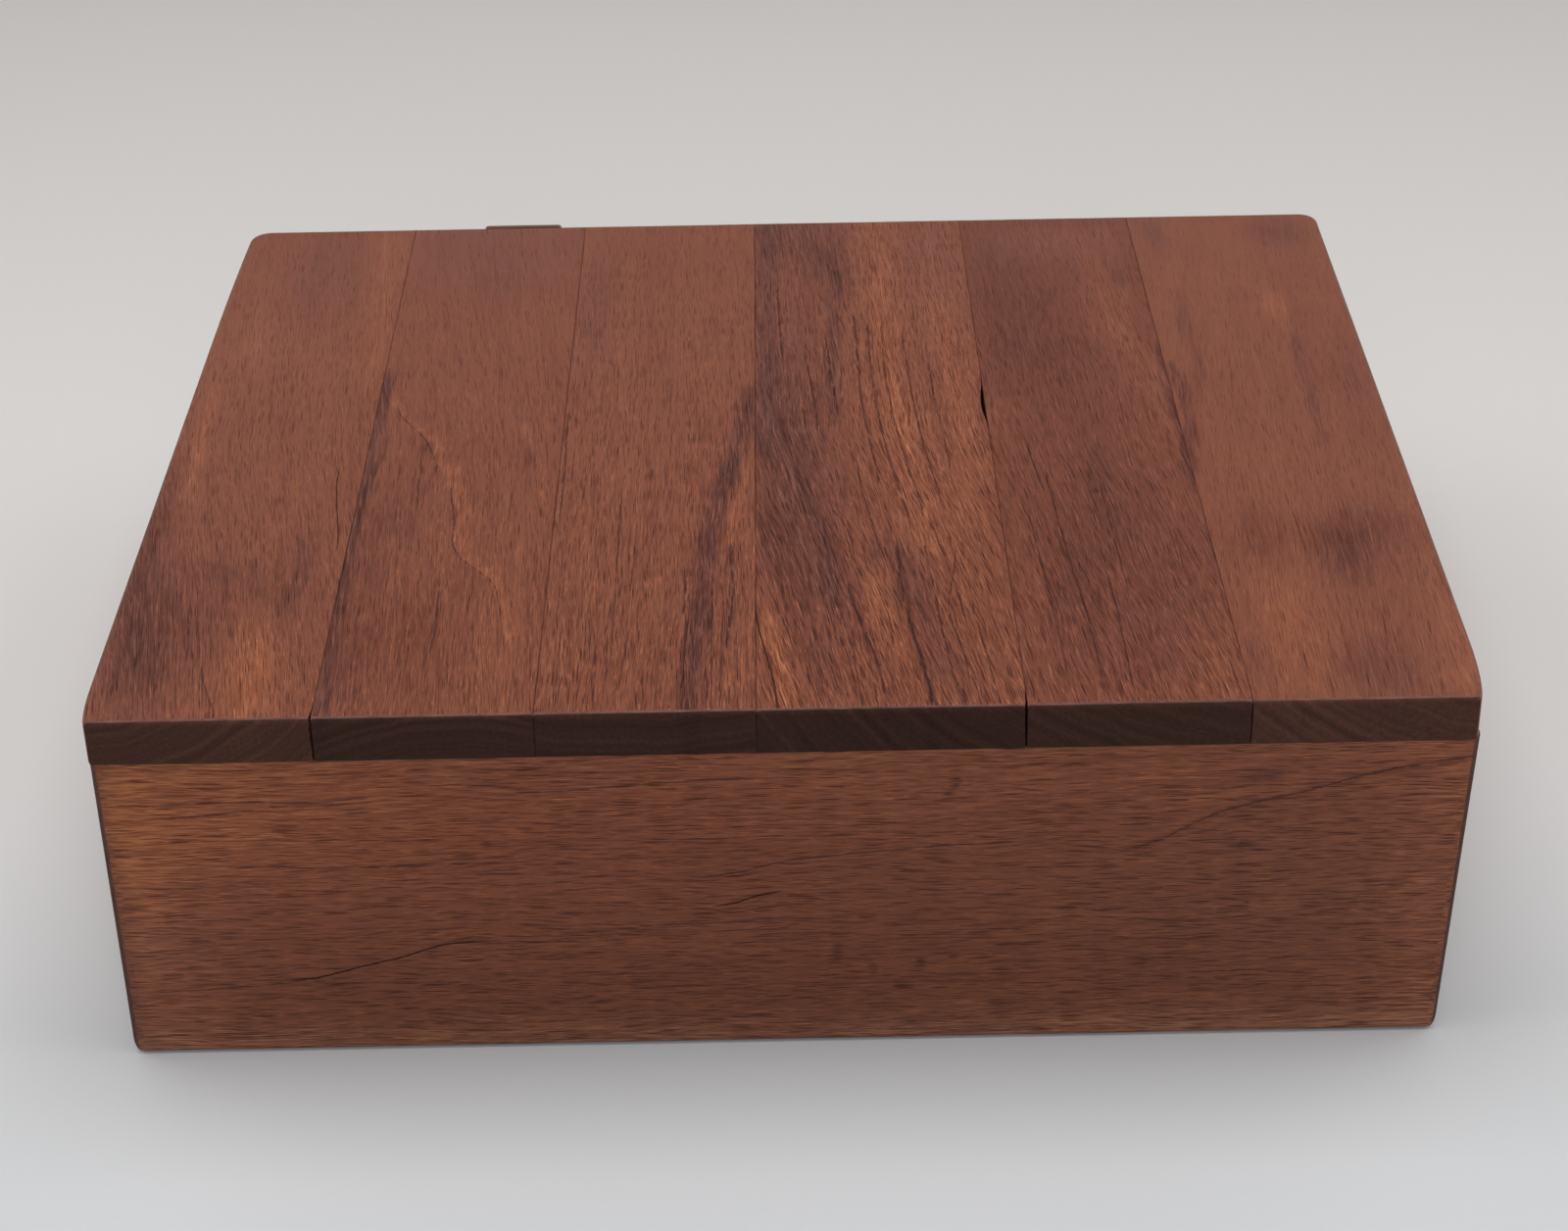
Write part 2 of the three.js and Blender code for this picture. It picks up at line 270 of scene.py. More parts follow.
@dataclass(frozen=True)
class Patch(Mark):
    """A soft oval cloud. It may lean: across shifts by lean for each millimetre along."""

    at: Pair
    reach: Pair
    tone: float = 0.0
    smoke: float = 0.0
    lean: float = 0.0
    pores: float = 0.0

    def weight(self, a: Array, c: Array) -> Array:
        """The oval's strength, exp(-(da/ra)^2 - (dc/rc)^2), with dc measured from the leaning axis.

        Args:
            a: Places along the grain.
            c: Places across it.

        Returns:
            The strength at each place.
        """
        da = a - self.at[0]
        dc = c - self.at[1] - self.lean * da
        return np.exp(-((da / self.reach[0]) ** 2) - (dc / self.reach[1]) ** 2)


@dataclass(frozen=True)
class Course:
    """Points (along, across) that a streak or a line follows, and the length over which its ends fade."""

    points: tuple[Pair, ...]
    fade: float
    ease: ClassVar[float] = 2.0

    def follow(self, a: Array, c: Array) -> tuple[Array, Array]:
        """Distance across from the course, and its fading.

        The course is eased by taking the mean of three places, one ease apart. The fading is the
        smooth step of the distance past each end over the fade.

        Args:
            a: Places along the grain.
            c: Places across it.

        Returns:
            The signed distance, and a share from 0 to 1.
        """
        points = np.array(sorted(self.points))
        shifts = (-self.ease, 0.0, self.ease)
        middle = sum(np.interp(a + shift, points[:, 0], points[:, 1]) for shift in shifts) / len(shifts)
        ends = np.minimum(a - points[0, 0], points[-1, 0] - a)
        return c - middle, smooth_step(ends / self.fade + 1)


@dataclass(frozen=True)
class Streak(Course, Mark):
    """A soft streak along a course."""

    width: float
    tone: float = 0.0
    smoke: float = 0.0
    pores: float = 0.0

    def weight(self, a: Array, c: Array) -> Array:
        """The bell of the distance from the course, times the fading."""
        distance, fading = self.follow(a, c)
        return bell(distance, self.width) * fading


class LineKind(Enum):
    """How a thin dark line looks, as the place of its kind in the vertex values.

    Rows are broken chains of pores, and neighbouring rows differ in kind. A crack is unbroken.
    """

    ROW_A = 0
    ROW_B = 1
    CRACK = 2


ROW_A, ROW_B, CRACK = LineKind


@dataclass(frozen=True)
class Line(Course):
    """A thin dark line along a course."""

    half_width: float
    kind: LineKind
    guard: ClassVar[float] = 0.8

    def draw(self, a: Array, c: Array, offsets: Array, halves: Array) -> None:
        """Writes the line to the vertices nearer to it than the guard.

        Args:
            a: Each vertex's place along the grain.
            c: Each vertex's place across it.
            offsets: Distance from a line of each kind, one column a kind, changed in place.
            halves: Half width of a line of each kind, changed in place.
        """
        distance, fading = self.follow(a, c)
        near = (np.abs(distance) < self.guard) & (fading > 0)
        offsets[near, self.kind.value] = distance[near]
        halves[near, self.kind.value] = (self.half_width * fading)[near]


# Meshes


def between_rings(rings: Array) -> Array:
    """Quads between neighbouring closed rings of vertex numbers, one ring a row."""
    ahead = np.roll(rings, -1, axis=1)
    return np.stack([rings[:-1], ahead[:-1], ahead[1:], rings[1:]], -1).reshape(-1, 4)


@dataclass
class Surface:
    """Vertices and quads of a closed body, before it becomes a mesh."""

    points: Array
    quads: Array

    @classmethod
    def from_sheets(cls, upper: Array, lower: Array, rim_rows: int) -> Surface:
        """A body between two sheets on the same grid, closed by a rim of straight lines.

        A rim point at share t lies at (1 - t) of the upper border point plus t of the lower one.

        Args:
            upper: Grid of points, n by m by 3.
            lower: The opposite sheet, in the same order.
            rim_rows: Steps of the rim from one border to the other.

        Returns:
            The closed body, its faces pointing out.
        """
        n, m = upper.shape[:2]
        ids = np.arange(n * m).reshape(n, m)
        face = np.stack([ids[:-1, :-1], ids[1:, :-1], ids[1:, 1:], ids[:-1, 1:]], -1).reshape(-1, 4)
        border = np.concatenate([ids[:, 0], ids[-1, 1:], ids[-2::-1, -1], ids[0, -2:0:-1]])
        flat_upper, flat_lower = upper.reshape(-1, 3), lower.reshape(-1, 3)
        share = (np.arange(1, rim_rows) / rim_rows)[:, None, None]
        rim = (1 - share) * flat_upper[border] + share * flat_lower[border]
        count = len(border)
        rings = np.concatenate([
            border[None], 2 * n * m + np.arange((rim_rows - 1) * count).reshape(-1, count),
            (n * m + border)[None]])
        sides = between_rings(rings)[:, [0, 3, 2, 1]]
        points = np.concatenate([flat_upper, flat_lower, rim.reshape(-1, 3)])
        return cls(points, np.concatenate([face, (n * m + face)[:, ::-1], sides])).outward()

    def outward(self) -> Surface:
        """The same body with its faces turned out, judged by the sign of its volume.

        Returns:
            The body itself.
        """
        a, b, c, d = (self.points[self.quads[:, i]] for i in range(4))
        volume = np.einsum("ij,ij->", a, np.cross(b, c)) + np.einsum("ij,ij->", a, np.cross(c, d))
        if volume < 0:
            self.quads = self.quads[:, ::-1]
        return self

    def mesh(self, name: str) -> Mesh:
        """The body as a smooth-shaded mesh in metres.

        Args:
            name: Name of the mesh.

        Returns:
            The mesh, with its sharp edges marked.
        """
        mesh = bpy.data.meshes.new(name)
        count = len(self.quads)
        mesh.vertices.add(len(self.points))
        mesh.vertices.foreach_set("co", (self.points * MM).astype(np.float32).ravel())
        mesh.loops.add(4 * count)
        mesh.loops.foreach_set("vertex_index", self.quads.astype(np.int32).ravel())
        mesh.polygons.add(count)
        mesh.polygons.foreach_set("loop_start", np.arange(0, 4 * count, 4, dtype=np.int32))
        mesh.update(calc_edges=True)
        mesh.validate()
        finish_shading(mesh)
        return mesh


def finish_shading(mesh: Mesh) -> None:
    """Smooth shading with the edges over SMOOTH_ANGLE kept sharp."""
    mesh.polygons.foreach_set("use_smooth", np.ones(len(mesh.polygons), dtype=bool))
    mesh.set_sharp_from_angle(angle=SMOOTH_ANGLE)


def linked(name: str, data: bpy.types.ID) -> bpy.types.Object:
    """A new object in the scene.

    Args:
        name: Its name.
        data: Its mesh, light or camera.

    Returns:
        The object.
    """
    thing = bpy.data.objects.new(name, data)
    bpy.context.scene.collection.objects.link(thing)
    return thing


def add_piece(name: str, mesh: Mesh, node: str, body: Body, material: Material) -> None:
    """Puts a mesh in the scene in place of a CAD node.

    Args:
        name: Name of the new piece.
        mesh: Its mesh, in metres, in the shared frame.
        node: The CAD node it stands for.
        body: The body it rides on.
        material: Its finish.
    """
    piece = linked(name, mesh)
    mesh.materials.append(material)
    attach(piece, body.value)
    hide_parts(node)
    log.info("%s: %d faces", name, len(mesh.polygons))


def set_attribute(mesh: Mesh, name: str, values: Array) -> None:
    """Stores one number, or one vector, for each vertex.

    Args:
        mesh: The mesh.
        name: Name of the value, as the finishes read it.
        values: One row for each vertex.
    """
    kind, key = ("FLOAT", "value") if values.ndim == 1 else ("FLOAT_VECTOR", "vector")
    attribute = mesh.attributes.new(name, kind, "POINT")
    attribute.data.foreach_set(key, values.astype(np.float32).ravel())


def triples(items: bpy.types.bpy_prop_collection, key: str, kind: type = np.float32) -> Array:
    """Three numbers of each item of a mesh, one item a row.

    Args:
        items: The mesh's vertices, normals or triangles.
        key: What to read from each.
        kind: The type of the numbers.

    Returns:
        The rows.
    """
    flat = np.zeros(len(items) * 3, kind)
    items.foreach_get(key, flat)
    return flat.reshape(-1, 3)


# Shader nodes


@dataclass(frozen=True)
class Layer:
    """A layer of noise: length of its features along the grain, their width, its detail and strength."""

    length: float
    width: float
    detail: float = 2.0
    strength: float = 1.0


class Shader:
    """Writes a material's nodes in short calls. Most of them return the socket that holds their result.

    The noise fit is the factor and offset that turn the noise node's usual 0.25 to 0.75 into -1 to 1.
    """

    noise_roughness: ClassVar[float] = 0.55
    noise_fit: ClassVar[Pair] = (4.0, -2.0)

    def __init__(self, name: str) -> None:
        """Starts an empty material with one surface shader.

        Args:
            name: Name of the material.
        """
        self.material = bpy.data.materials.new(name)
        self.material.use_nodes = True
        self.tree = self.material.node_tree
        self.tree.nodes.clear()
        self.surface = self.node("ShaderNodeBsdfPrincipled")
        self.node("ShaderNodeOutputMaterial", {"Surface": self.surface.outputs["BSDF"]})

    def put(self, value: object, socket: Socket) -> None:
        """Links a socket, or sets a number, into an input.

        Args:
            value: The socket or number.
            socket: The input.
        """
        if isinstance(value, Socket):
            self.tree.links.new(value, socket)
        else:
            socket.default_value = value

    def node(self, kind: str, inputs: dict[str | int, object] | None = None,
             **settings: object) -> bpy.types.Node:
        """A new node.

        Args:
            kind: Its type.
            inputs: What goes into its inputs, by name or place.
            **settings: Its settings.

        Returns:
            The node.
        """
        node = self.tree.nodes.new(kind)
        for key, value in settings.items():
            setattr(node, key, value)
        for key, value in (inputs or {}).items():
            self.put(value, node.inputs[key])
        return node

    def finish(self, **inputs: object) -> Material:
        """Sets what the surface needs.

        Args:
            **inputs: What goes into its inputs, by their names with _ for a space.

        Returns:
            The material.
        """
        for key, value in inputs.items():
            self.put(value, self.surface.inputs[key.replace("_", " ")])
        return self.material

    def math(self, operation: str, *values: object, clamp: bool = False) -> Socket:
        """A sum on numbers."""
        node = self.node("ShaderNodeMath", dict(enumerate(values)), operation=operation, use_clamp=clamp)
        return node.outputs[0]

    def add(self, *values: object) -> Socket:
        """All the numbers added up.

        Args:
            *values: Two or more numbers.

        Returns:
            Their sum.
        """
        total = values[0]
        for value in values[1:]:
            total = self.math("ADD", total, value)
        return total

    def times(self, a: object, b: object) -> Socket:
        """One number times another."""
        return self.math("MULTIPLY", a, b)

    def scaled(self, value: object, factor: object, offset: object, clamp: bool = False) -> Socket:
        """A number times a factor, plus an offset."""
        return self.math("MULTIPLY_ADD", value, factor, offset, clamp=clamp)

    def weighted(self, *terms: tuple[object, object]) -> Socket:
        """All the numbers added up, each times its weight."""
        return self.add(*(self.times(value, weight) for value, weight in terms))

    def vector(self, operation: str, a: object, b: object) -> Socket:
        """A sum on vectors."""
        return self.node("ShaderNodeVectorMath", {0: a, 1: b}, operation=operation).outputs[0]

    def spread(self, value: object) -> Socket:
        """A vector with the number in all three places."""
        return self.node("ShaderNodeCombineXYZ", dict.fromkeys(range(3), value)).outputs[0]

    def parts(self, vector: object) -> bpy.types.bpy_prop_collection:
        """The three numbers of a vector."""
        return self.node("ShaderNodeSeparateXYZ", {0: vector}).outputs

    def stretched(self, place: object, length: float, width: float) -> Socket:
        """A place in millimetres measured in steps of a length along the grain and a width across it."""
        return self.vector("DIVIDE", place, (length, width, width))

    def noise(self, place: object, layer: Layer) -> Socket:
        """A layer of noise.

        Args:
            place: Where it is read.
            layer: The layer.

        Returns:
            The noise, from about -1 to 1 times the layer's strength.
        """
        node = self.node("ShaderNodeTexNoise", {
            "Vector": self.stretched(place, layer.length, layer.width), "Scale": 1.0,
            "Detail": layer.detail, "Roughness": self.noise_roughness}, noise_dimensions="3D")
        noise = self.scaled(node.outputs[0], *self.noise_fit)
        return noise if layer.strength == 1 else self.times(noise, layer.strength)

    def smooth(self, value: object, low: float, high: float) -> Socket:
        """A smooth step between two limits.

        Args:
            value: The number.
            low: Where the result is 0.
            high: Where it is 1. It may be less than low.

        Returns:
            The eased share.
        """
        rising = low < high
        return self.node("ShaderNodeMapRange", {
            "Value": value, "From Min": min(low, high), "From Max": max(low, high),
            "To Min": 0.0 if rising else 1.0, "To Max": 1.0 if rising else 0.0,
        }, interpolation_type="SMOOTHSTEP").outputs["Result"]

    def attribute(self, name: str, vector: bool = False) -> Socket:
        """A value that the mesh holds for each vertex."""
        node = self.node("ShaderNodeAttribute", attribute_name=name, attribute_type="GEOMETRY")
        return node.outputs["Vector" if vector else "Fac"]

    def ramp(self, value: object, stops: list[tuple[float, Vector3]]) -> Socket:
        """A colour read from a row of stops.

        Args:
            value: Where to read, from 0 to 1.
            stops: The place and colour of each stop.

        Returns:
            The colour.
        """
        node = self.node("ShaderNodeValToRGB", {0: value})
        elements = node.color_ramp.elements
        while len(elements) < len(stops):
            elements.new(0.5)
        for element, (place, colour) in zip(elements, stops):
            element.position = place
            element.color = (*colour, 1.0)
        return node.outputs["Color"]

    def mix(self, share: object, a: object, b: object, blend: str = "MIX") -> Socket:
        """Two colours mixed.

        Args:
            share: The share of the second.
            a: The first, a socket or three numbers.
            b: The second.
            blend: How they mix.

        Returns:
            The mixed colour.
        """
        a, b = ((*value, 1.0) if isinstance(value, tuple) else value for value in (a, b))
        node = self.node("ShaderNodeMix", {0: share, 6: a, 7: b}, data_type="RGBA", blend_type=blend)
        return node.outputs[2]

    def bump(self, height: object, depth: float) -> Socket:
        """The relief of the surface, with its depth in millimetres for a height of 1."""
        inputs = {"Strength": 1.0, "Distance": depth * MM, "Height": height}
        return self.node("ShaderNodeBump", inputs).outputs[0]


@dataclass(frozen=True)
class GrainLayers:
    """The layers of noise in the wood."""

    wander: Layer = Layer(24.0, 6.0, 1.0, 0.4)
    figure: Layer = Layer(60.0, 3.6)
    cloud: Layer = Layer(9.0, 16.0, 1.0, 0.03)
    streak: Layer = Layer(26.0, 1.1)
    coarse_strand: Layer = Layer(13.0, 0.6, 1.0, 0.6)
    fine_strand: Layer = Layer(6.0, 0.22, 1.0, 1.1)
    coarse_fibre: Layer = Layer(7.0, 0.26, 1.0, 0.5)
    fine_fibre: Layer = Layer(3.0, 0.1, 1.0, 0.95)
    thread: Layer = Layer(11.0, 0.34, 1.0)
    fleck: Layer = Layer(1.7, 0.17, 1.0)
    line_wobble: Layer = Layer(1.3, 2.0, 3.0, 0.1)
    row_dashes: Layer = Layer(3.0, 0.5, 2.0)
    seam_edge: Layer = Layer(1.2, 3.0, strength=0.04)
    seam_run: Layer = Layer(22.0, 30.0)
    wear_and_glint_noise: Layer = Layer(3.0, 2.5)
    end_mottle: Layer = Layer(0.45, 0.45, 3.0, 0.24)


LAYERS = GrainLayers()


@dataclass(frozen=True)
class WoodFinish:
    """Oiled reddish-brown hardwood. Lengths are millimetres, tones natural-log steps round the colour.

    A bend is how fast each colour channel follows the tone. A pair named fit is the factor and the
    offset that turn a noise into a share, and a pair named edges is where a smooth step starts and ends.
    Heights are shares of the relief, and a pore is as deep as a row.
    """

    name: str
    colour: Vector3
    dark_bend: Vector3 = (0.84, 1.2, 1.36)
    light_bend: Vector3 = (0.88, 1.1, 1.04)
    tones: tuple[float, ...] = (-2.6, -1.9, -1.4, -1.0, -0.65, -0.32, 0.0, 0.3, 0.6, 0.9)
    smoke_tint: Vector3 = (0.78, 1.1, 1.7)
    pore_length: float = 4.4
    pore_pitch: float = 0.13
    pore_radius: float = 0.42
    pore_size_fit: Pair = (0.7, 0.5)
    pore_edges: Pair = (1.0, 0.6)
    pore_tone: float = -1.05
    vessel_length: float = 5.4
    vessel_pitch: float = 0.22
    vessel_rarity: float = 0.42
    figure: float = 0.05
    streaks: float = 0.1
    strand_fit: Pair = (1.1, 1.25)
    fibres: float = 0.46
    threads: float = -0.42
    thread_edges: Pair = (0.35, 0.9)
    flecks: float = 0.34
    fleck_edges: Pair = (0.25, 0.8)
    strand_smoke: float = 0.12
    fibre_smoke: float = -0.1
    row_tone: float = -0.8
    row_smoke: float = 0.3
    row_dash_fit: Pair = (1.3, 0.9)
    crack_tone: float = -1.5
    line_sharpness: float = 14.0
    seam_tone: float = -0.95
    seam_edges: Pair = (0.44, 0.57)
    seam_run_fit: Pair = (0.6, 0.6)
    ring_scale: float = 0.9
    ring_detail: float = 1.5
    rings: float = 0.9
    roughness: float = 0.46
    pore_rough: float = 0.2
    crack_rough: float = 0.3
    fibre_rough: float = 0.03
    end_rough: float = 0.2
    most_rough: float = 0.95
    sheen: float = 0.3
    relief: float = 0.035
    line_height: float = -1.0
    crack_height: float = -4.0
    fibre_height: float = 0.2
    fleck_height: float = 0.1
    # The pale pink line on the upper rounded edge of the ends: partly wear, partly a painted highlight where
    # the overhead light glints.
    wear_and_glint_fit: Pair = (0.35, 0.6)
    wear_and_glint_colour: Vector3 = (0.3, 0.14, 0.115)
    end_colour: Vector3 = (0.055, 0.0213, 0.0137)
    end_pore_loss: float = 0.75
    end_sheen_loss: float = 0.6
    end_painted: float = 0.3
    end_seam_tone: float = -0.7

    def shades(self) -> list[tuple[float, Vector3]]:
        """The colour over the tones: the middle colour times exp(tone times the bend of its side).

        Returns:
            Colour stops, from 0 for the darkest tone to 1 for the lightest.
        """
        tones = np.array(self.tones)[:, None]
        bend = np.where(tones < 0, np.array(self.dark_bend), np.array(self.light_bend))
        colours = np.array(self.colour) * np.exp(tones * bend)
        span = self.tones[-1] - self.tones[0]
        return [((tone - self.tones[0]) / span, tuple(map(float, colour)))
                for tone, colour in zip(self.tones, colours)]

    def pores(self, s: Shader, place: Socket, length: float, pitch: float, share: Socket) -> Socket:
        """Pores: long thin cells, each with its own size, shown by chance up to a share.

        Args:
            s: The material being written.
            place: The wandering place in the grain.
            length: Length of a cell along the grain.
            pitch: Its width.
            share: How many of the cells hold a pore, from 0 to 1.

        Returns:
            1 inside a pore, 0 outside.
        """
        cells = s.node("ShaderNodeTexVoronoi", {"Vector": s.stretched(place, length, pitch), "Scale": 1.0},
                       voronoi_dimensions="3D", feature="F1").outputs
        chance = s.node("ShaderNodeSeparateColor", {0: cells["Color"]}).outputs
        radius = s.times(s.scaled(chance[0], *self.pore_size_fit), self.pore_radius)
        openness = s.smooth(s.math("DIVIDE", cells["Distance"], radius), *self.pore_edges)
        return s.times(openness, s.math("LESS_THAN", chance[1], share))

    def lines(self, s: Shader, place: Socket) -> tuple[Socket, Socket]:
        """Broken rows and unbroken cracks.

        Each is 1 where the half width, less the wobbling distance from the line, passes zero. The
        half width of a row comes and goes along the grain, so that it breaks into dashes.

        Args:
            s: The material being written.
            place: The wandering place in the grain.

        Returns:
            The share of row and the share of crack.
        """
        offsets = s.parts(s.attribute("line_offset", vector=True))
        halves = s.parts(s.attribute("line_half", vector=True))
        wobble = s.noise(place, LAYERS.line_wobble)
        dashes = s.scaled(s.noise(place, LAYERS.row_dashes), *self.row_dash_fit)
        shares = []
        for kind in LineKind:
            half = halves[kind.value]
            if kind is not CRACK:
                half = s.times(half, dashes)
            distance = s.math("ABSOLUTE", s.add(offsets[kind.value], wobble))
            shares.append(s.times(s.math("SUBTRACT", half, distance), self.line_sharpness))
        row = s.math("MAXIMUM", shares[ROW_A.value], shares[ROW_B.value])
        return s.math("ADD", row, 0.5, clamp=True), s.math("ADD", shares[CRACK.value], 0.5, clamp=True)

    def material(self) -> Material:
        """Builds the wood from the vertex values that a figure paints.

        On the faces the tone is the painted marks broken up into strands, plus the board's own tone,
        slow noises, and the fibres, threads, flecks, pores and streaks times the contrast, with the
        rows, the seam at a glued joint and the cracks darker. The colour is read from the shades by
        that tone and tinted by the smoke. At the ends it is the end colour times exp(the end's tone
        plus the growth rings, a share of the marks, the seam and a mottle).

        Returns:
            The material.
        """
        s = Shader(self.name)
        grain = s.attribute("grain", vector=True)
        end = s.attribute("end")
        wander = s.node("ShaderNodeCombineXYZ", {"Y": s.noise(grain, LAYERS.wander)}).outputs[0]
        place = s.vector("ADD", grain, wander)
        share = s.attribute("pores")
        small = self.pores(s, place, self.pore_length, self.pore_pitch, share)
        large = self.pores(s, place, self.vessel_length, self.vessel_pitch,
                           s.math("SUBTRACT", share, self.vessel_rarity))
        pore = s.times(s.math("MAXIMUM", small, large), s.scaled(end, -self.end_pore_loss, 1.0))
        row, crack = (s.times(line, s.math("SUBTRACT", 1.0, end)) for line in self.lines(s, place))
        near = s.add(s.attribute("seam"), s.noise(grain, LAYERS.seam_edge))
        seam = s.times(s.smooth(near, *self.seam_edges),
                       s.scaled(s.noise(grain, LAYERS.seam_run), *self.seam_run_fit, clamp=True))
        fibre = s.add(s.noise(place, LAYERS.coarse_fibre), s.noise(place, LAYERS.fine_fibre))
        strand = s.add(s.noise(place, LAYERS.coarse_strand), s.noise(place, LAYERS.fine_strand))
        thread = s.smooth(s.noise(place, LAYERS.thread), *self.thread_edges)
        fleck = s.smooth(s.noise(place, LAYERS.fleck), *self.fleck_edges)
        fine = s.weighted((fibre, self.fibres), (thread, self.threads), (fleck, self.flecks),
                          (pore, self.pore_tone), (s.noise(place, LAYERS.streak), self.streaks))
        painted = s.times(s.attribute("tone"), s.scaled(strand, *self.strand_fit))
        tone = s.add(painted, s.attribute("base"), s.noise(grain, LAYERS.cloud), s.weighted(
            (s.noise(place, LAYERS.figure), self.figure), (fine, s.attribute("contrast")),
            (row, self.row_tone), (seam, self.seam_tone), (crack, self.crack_tone)))
        span = self.tones[-1] - self.tones[0]
        wood = s.ramp(s.scaled(tone, 1 / span, -self.tones[0] / span, clamp=True), self.shades())
        smoke = s.add(s.attribute("smoke"), s.weighted(
            (strand, self.strand_smoke), (fibre, self.fibre_smoke), (row, self.row_smoke)))
        tint = tuple(value - 1 for value in self.smoke_tint)
        smoky = s.vector("ADD", s.vector("MULTIPLY", s.spread(smoke), tint), (1.0, 1.0, 1.0))
        ring = s.node("ShaderNodeTexNoise", {
            "W": s.attribute("ring"), "Scale": self.ring_scale, "Detail": self.ring_detail,
        }, noise_dimensions="1D").outputs[0]
        sawn = s.add(s.attribute("end_tone"), s.noise(grain, LAYERS.end_mottle), s.weighted(
            (s.math("SUBTRACT", ring, 0.5), self.rings), (painted, self.end_painted),
            (seam, self.end_seam_tone)))
        across_end = s.vector("MULTIPLY", s.spread(s.math("POWER", math.e, sawn)), self.end_colour)
        oiled = s.mix(end, s.vector("MULTIPLY", wood, smoky), across_end)
        # Pale pink line on the upper rounded edge of the ends: partly wear, partly a painted highlight.
        wear_and_glint = s.times(s.attribute("wear_and_glint"), s.scaled(s.noise(grain, LAYERS.wear_and_glint_noise), *self.wear_and_glint_fit))
        rough = s.add(self.roughness, s.weighted(
            (pore, self.pore_rough), (crack, self.crack_rough), (fibre, self.fibre_rough),
            (end, self.end_rough)))
        height = s.weighted(
            (pore, self.line_height), (row, self.line_height), (crack, self.crack_height),
            (fibre, self.fibre_height), (fleck, self.fleck_height))
        return s.finish(Base_Color=s.mix(wear_and_glint, oiled, self.wear_and_glint_colour),
                        Roughness=s.math("MINIMUM", rough, self.most_rough),
                        Specular_IOR_Level=s.scaled(end, -self.end_sheen_loss * self.sheen, self.sheen),
                        Normal=s.bump(height, self.relief))


@dataclass(frozen=True)
class BrassFinish:
    """Old brass, darkened all over and rubbed brighter where hands and the other leaf touch it."""

    name: str
    dark: Vector3 = (0.29, 0.142, 0.084)
    bright: Vector3 = (0.46, 0.29, 0.13)
    rubbed: float = 0.3
    rubbed_edges: Pair = (0.35, 1.25)
    cloud_wear: float = 0.22
    scratch_wear: float = 0.1
    roughness: float = 0.46
    rubbed_rough: float = -0.12
    cloud_rough: float = 0.05
    gloss: float = 0.5
    metal_fit: Pair = (0.4, 0.6)
    relief: float = 0.008
    clouds: Layer = Layer(1.6, 1.6, 4.0)
    scratches: Layer = Layer(5.0, 0.12)

    def material(self) -> Material:
        """Builds the metal from Object coordinates and the vertex value wear.

        Returns:
            The material.
        """
        s = Shader(self.name)
        coordinates = s.node("ShaderNodeTexCoord")
        place = s.vector("MULTIPLY", coordinates.outputs["Object"], (1 / MM, 1 / MM, 1 / MM))
        clouds, scratches = s.noise(place, self.clouds), s.noise(place, self.scratches)
        worn = s.add(s.attribute("wear"), s.weighted(
            (clouds, self.cloud_wear), (scratches, self.scratch_wear)))
        share = s.smooth(worn, *(edge - self.rubbed / 2 for edge in self.rubbed_edges))
        return s.finish(Base_Color=s.mix(share, self.dark, self.bright),
                        Roughness=s.add(self.roughness, s.weighted(
                            (share, self.rubbed_rough), (clouds, self.cloud_rough))),
                        Specular_IOR_Level=self.gloss, Metallic=s.scaled(share, *self.metal_fit),
                        Normal=s.bump(s.add(scratches, clouds), self.relief))


# Boards


